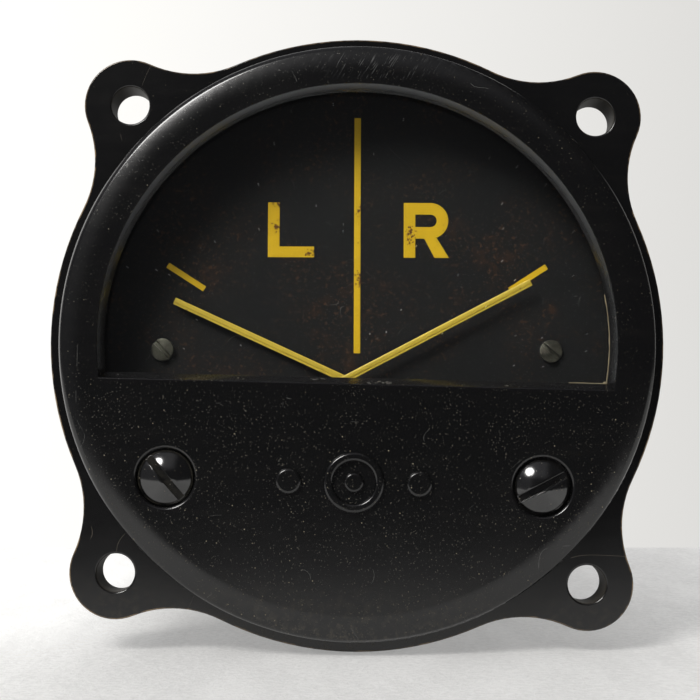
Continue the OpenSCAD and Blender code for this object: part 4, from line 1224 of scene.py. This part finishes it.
class INDICATOR_OT_movements(bpy.types.Operator):
    """Paints the chassis and the two moving-coil movements"""

    bl_idname = "indicator.movements"
    bl_label = "Movements"

    def execute(self, context):
        paint("chassis_plate", "chassis_pillars", "chassis_screws", "magnet_screws")
        for side in SIDES:
            paint(side + "_magnet", side + "_pole_pieces")
            paint(side + "_front_bridge", side + "_rear_bridge")
        paint("armature_cores", "core_brackets", "core_bracket_screws")
        paint("front_bridge_screws", "front_jewel_screws", "insulating_bushes")
        paint("rear_bridge_screws", "rear_jewel_screws", "rear_hairsprings")
        return {"FINISHED"}


class INDICATOR_OT_rear(bpy.types.Operator):
    """Softens the rear case, its screws and its terminals"""

    bl_idname = "indicator.rear"
    bl_label = "Rear case"

    def execute(self, context):
        look = context.scene.indicator_rear
        soften("rear_case_skin", "rear_case", "case", look.case_edge, 3)
        nuts = ("terminal_nuts", "terminal_thumb_nuts", "terminal_washers")
        for node in ("case_screws", *nuts, "terminal_studs"):
            soften(node + "_finished", node, "case", look.fitting_edge)
        paint("case_gasket", "screw_inserts", "solder_tags", "lead_wires")
        return {"FINISHED"}


# Stage

# The camera and the slope of the floor, worked out from the lug holes, the flange's outline and
# the floor in the photograph. The lens and the sensor are in millimetres.
CAMERA_PLACE = Vector((-1.26, -236.35, -12.96)) * MM
CAMERA_YAW = math.radians(0.08)
CAMERA_PITCH = math.radians(2.99)
CAMERA_ROLL = math.radians(1.43)
CAMERA_LENS = 88.27
SENSOR_WIDTH = 36.0
CAMERA_NEAR = 0.01
FLOOR_TILT = math.radians(2.03)
FLOOR_WIDTH = 1.3
# Paper colour at the left, whiter to paint the lamp's light falling on the floor there
FLOOR_PAINTED_LIGHT = (0.99, 0.985, 0.97)
LAMP_WAY = Vector((-0.42, -0.7, 0.58))
LAMP_COLOUR = (1.0, 0.985, 0.96)
FILL_COLOUR = (1.0, 1.0, 1.0)

# Which directions show the dark room: those in front of ROOM_AHEAD or above ROOM_TOP, as parts
# of one, and none below ROOM_FOOT
ROOM_AHEAD = 0.25
ROOM_TOP = 0.6
ROOM_FOOT = -0.3

# Where the room is brighter: a ceiling that ends at the right, and half as much on the left wall
CEILING_RISE = (0.25, 0.5)
CEILING_END = (0.45, 0.12)
WALL_RISE = (-0.25, -0.5)
WALL_SHARE = 0.5

# How much painted light brightens the backdrop from right to left
BACKDROP_PAINTED_FALL = 0.9


class INDICATOR_OT_studio(bpy.types.Operator):
    """Lays the floor, hangs the lamp and sets the camera"""

    bl_idname = "indicator.studio"
    bl_label = "Studio"

    def execute(self, context):
        look = context.scene.indicator_studio
        self.lay_floor(look)
        self.hang_lamp(look)
        self.light_world(context.scene, look)
        self.set_camera(context.scene)
        context.scene.view_settings.view_transform = "Standard"
        return {"FINISHED"}

    def lay_floor(self, look):
        """A pale sheet under the flange and the case, which stand on it together."""
        clear_selection()
        bpy.ops.mesh.primitive_grid_add(x_subdivisions=60, y_subdivisions=60, size=1)
        sheet = bpy.context.object
        sheet.name = "floor"
        sheet.scale = (FLOOR_WIDTH, look.floor_back + look.floor_front, 1)
        sheet.location = (0, (look.floor_back - look.floor_front) / 2, 0)
        settle(sheet)
        normal = Vector(
            (
                -math.sin(CAMERA_ROLL) * math.cos(FLOOR_TILT),
                -math.cos(CAMERA_ROLL) * math.sin(FLOOR_TILT),
                math.cos(CAMERA_ROLL) * math.cos(FLOOR_TILT),
            )
        )
        touch = Vector((math.sin(CAMERA_ROLL), 0, -math.cos(CAMERA_ROLL))) * FLANGE_R
        ahead = (Vector((0, 1, 0)) - normal * normal.y).normalized()
        turn = Matrix((ahead.cross(normal), ahead, normal)).transposed().to_4x4()
        sheet.matrix_world = Matrix.Translation(touch) @ turn
        settle(sheet)
        sheet.data.materials.append(self.floor_finish(tuple(look.floor)).material)

    def floor_finish(self, pale):
        """Rough pale paper, with painted light: whiter at the left, a little brighter at the right, and glowing
        brighter still at the far left.
        """
        finish = Finish("floor_sheet", base_color=pale, roughness=0.8)
        streak = finish.noise(150, 4.0, 0.6, place=finish.moved(stretch=(1, 0.25, 1)))
        tone = 0.35 * streak + 0.65 * finish.noise(1100, 4.0, 0.75)
        left = finish.axis("X").rise(-22 * MM, -48 * MM)
        right = finish.axis("X").rise(34 * MM, 55 * MM)
        far = finish.axis("Y").rise(-30 * MM, 20 * MM)
        # Painted light: the paper is whiter at the left and a little brighter at the right
        colour = finish.coat(
            pale,
            (left, FLOOR_PAINTED_LIGHT),
            (right, toned(pale, 1.17)),
            (tone.rise(0.62, 0.36) * 0.3, toned(pale, 0.6)),
        )
        finish.surface(tone, 0.9 * MM, 0.6, base_color=colour)
        # Painted light: towards the far left the paper glows brighter still
        finish.show_bright(colour, 0.4, 1.0 + 0.7 * left * far)
        return finish

    def hang_lamp(self, look):
        """One large soft lamp at the upper left."""
        way = LAMP_WAY.normalized()
        bpy.ops.object.light_add(type="AREA", location=way * look.lamp_distance)
        lamp = bpy.context.object
        lamp.name = "upper_left_lamp"
        lamp.data.shape = "DISK"
        lamp.data.size = look.lamp_size
        lamp.data.energy = look.lamp_power
        lamp.data.color = LAMP_COLOUR
        lamp.visible_transmission = False
        lamp.rotation_mode = "QUATERNION"
        lamp.rotation_quaternion = way.to_track_quat("Z", "Y")

    def light_world(self, scene, look):
        """Even fill light, and a pale backdrop for the camera, metal and glass, with painted light that brightens
        it towards the left.
        """
        world = bpy.data.worlds.new("backdrop")
        scene.world = world
        world.use_nodes = True
        world.cycles.sampling_method = "NONE"
        sky = Nodes(world.node_tree)
        sky.tree.nodes.clear()
        rays = sky.node("ShaderNodeLightPath")
        way = sky.node("ShaderNodeTexCoord").output("Generated")
        split = sky.node("ShaderNodeSeparateXYZ", None, {0: way})
        across, along, up = (split.output(name) for name in "XYZ")
        camera = rays.output("Is Camera Ray")
        seen = camera.at_least(rays.output("Is Glossy Ray"))
        seen = seen.at_least(rays.output("Is Transmission Ray"))
        shown = seen * rays.output("Diffuse Depth").math("LESS_THAN", 0.5)
        ahead = along.math("LESS_THAN", ROOM_AHEAD).at_least(up.math("GREATER_THAN", ROOM_TOP))
        room = ahead * up.math("GREATER_THAN", ROOM_FOOT) * (1 - camera)
        ceiling = up.rise(*CEILING_RISE) * across.rise(*CEILING_END)
        wall = across.rise(*WALL_RISE) * WALL_SHARE
        dark = sky.background(look.room, 1 + ceiling.at_least(wall) * look.ceiling)
        # Painted light: the backdrop grows brighter towards the left
        pale = sky.background(look.backdrop, 1 - across * BACKDROP_PAINTED_FALL)
        fill = sky.background(FILL_COLOUR, look.fill)
        both = sky.mix_shader(shown, fill, sky.mix_shader(room, pale, dark))
        end = sky.tree.nodes.new("ShaderNodeOutputWorld")
        sky.tree.links.new(both.socket, end.inputs["Surface"])

    def set_camera(self, scene):
        """The photograph's view: a little below the centre, looking slightly up."""
        bpy.ops.object.camera_add(location=CAMERA_PLACE)
        camera = bpy.context.object
        camera.name = "photograph_view"
        forward = Vector(
            (
                math.sin(CAMERA_YAW) * math.cos(CAMERA_PITCH),
                math.cos(CAMERA_YAW) * math.cos(CAMERA_PITCH),
                math.sin(CAMERA_PITCH),
            )
        )
        level = forward.cross(Vector((0, 0, 1))).normalized()
        upright = level.cross(forward)
        right = math.cos(CAMERA_ROLL) * level + math.sin(CAMERA_ROLL) * upright
        up = math.cos(CAMERA_ROLL) * upright - math.sin(CAMERA_ROLL) * level
        turn = Matrix((right, up, -forward)).transposed().to_4x4()
        camera.matrix_world = Matrix.Translation(CAMERA_PLACE) @ turn
        camera.data.lens = CAMERA_LENS
        camera.data.sensor_width = SENSOR_WIDTH
        camera.data.clip_start = CAMERA_NEAR
        scene.camera = camera


# Sidebar


class INDICATOR_PT_sidebar(bpy.types.Panel):
    """Lists the steps in the order in which they are run."""

    bl_idname = "INDICATOR_PT_sidebar"
    bl_label = "Direction finder indicator"
    bl_space_type = "VIEW_3D"
    bl_region_type = "UI"
    bl_category = "Indicator"

    def draw(self, context):
        for operator in STEPS:
            self.layout.operator(operator.bl_idname)


SETTINGS = {
    "indicator_moulding": IndicatorMoulding,
    "indicator_window": IndicatorWindow,
    "indicator_dial": IndicatorDial,
    "indicator_pointers": IndicatorPointers,
    "indicator_adjusters": IndicatorAdjusters,
    "indicator_rear": IndicatorRear,
    "indicator_studio": IndicatorStudio,
}

STEPS = (
    INDICATOR_OT_moulding,
    INDICATOR_OT_window,
    INDICATOR_OT_dial,
    INDICATOR_OT_pointers,
    INDICATOR_OT_adjusters,
    INDICATOR_OT_movements,
    INDICATOR_OT_rear,
    INDICATOR_OT_studio,
)


def register():
    for name, group in SETTINGS.items():
        bpy.utils.register_class(group)
        setattr(bpy.types.Scene, name, bpy.props.PointerProperty(type=group))
    for step in STEPS:
        bpy.utils.register_class(step)
    bpy.utils.register_class(INDICATOR_PT_sidebar)


def unregister():
    bpy.utils.unregister_class(INDICATOR_PT_sidebar)
    for step in reversed(STEPS):
        bpy.utils.unregister_class(step)
    for name, group in reversed(SETTINGS.items()):
        delattr(bpy.types.Scene, name)
        bpy.utils.unregister_class(group)


def main():
    """Runs every step in order."""
    register()
    bpy.ops.indicator.moulding()
    bpy.ops.indicator.window()
    bpy.ops.indicator.dial()
    bpy.ops.indicator.pointers()
    bpy.ops.indicator.adjusters()
    bpy.ops.indicator.movements()
    bpy.ops.indicator.rear()
    bpy.ops.indicator.studio()


if __name__ == "__main__":
    main()
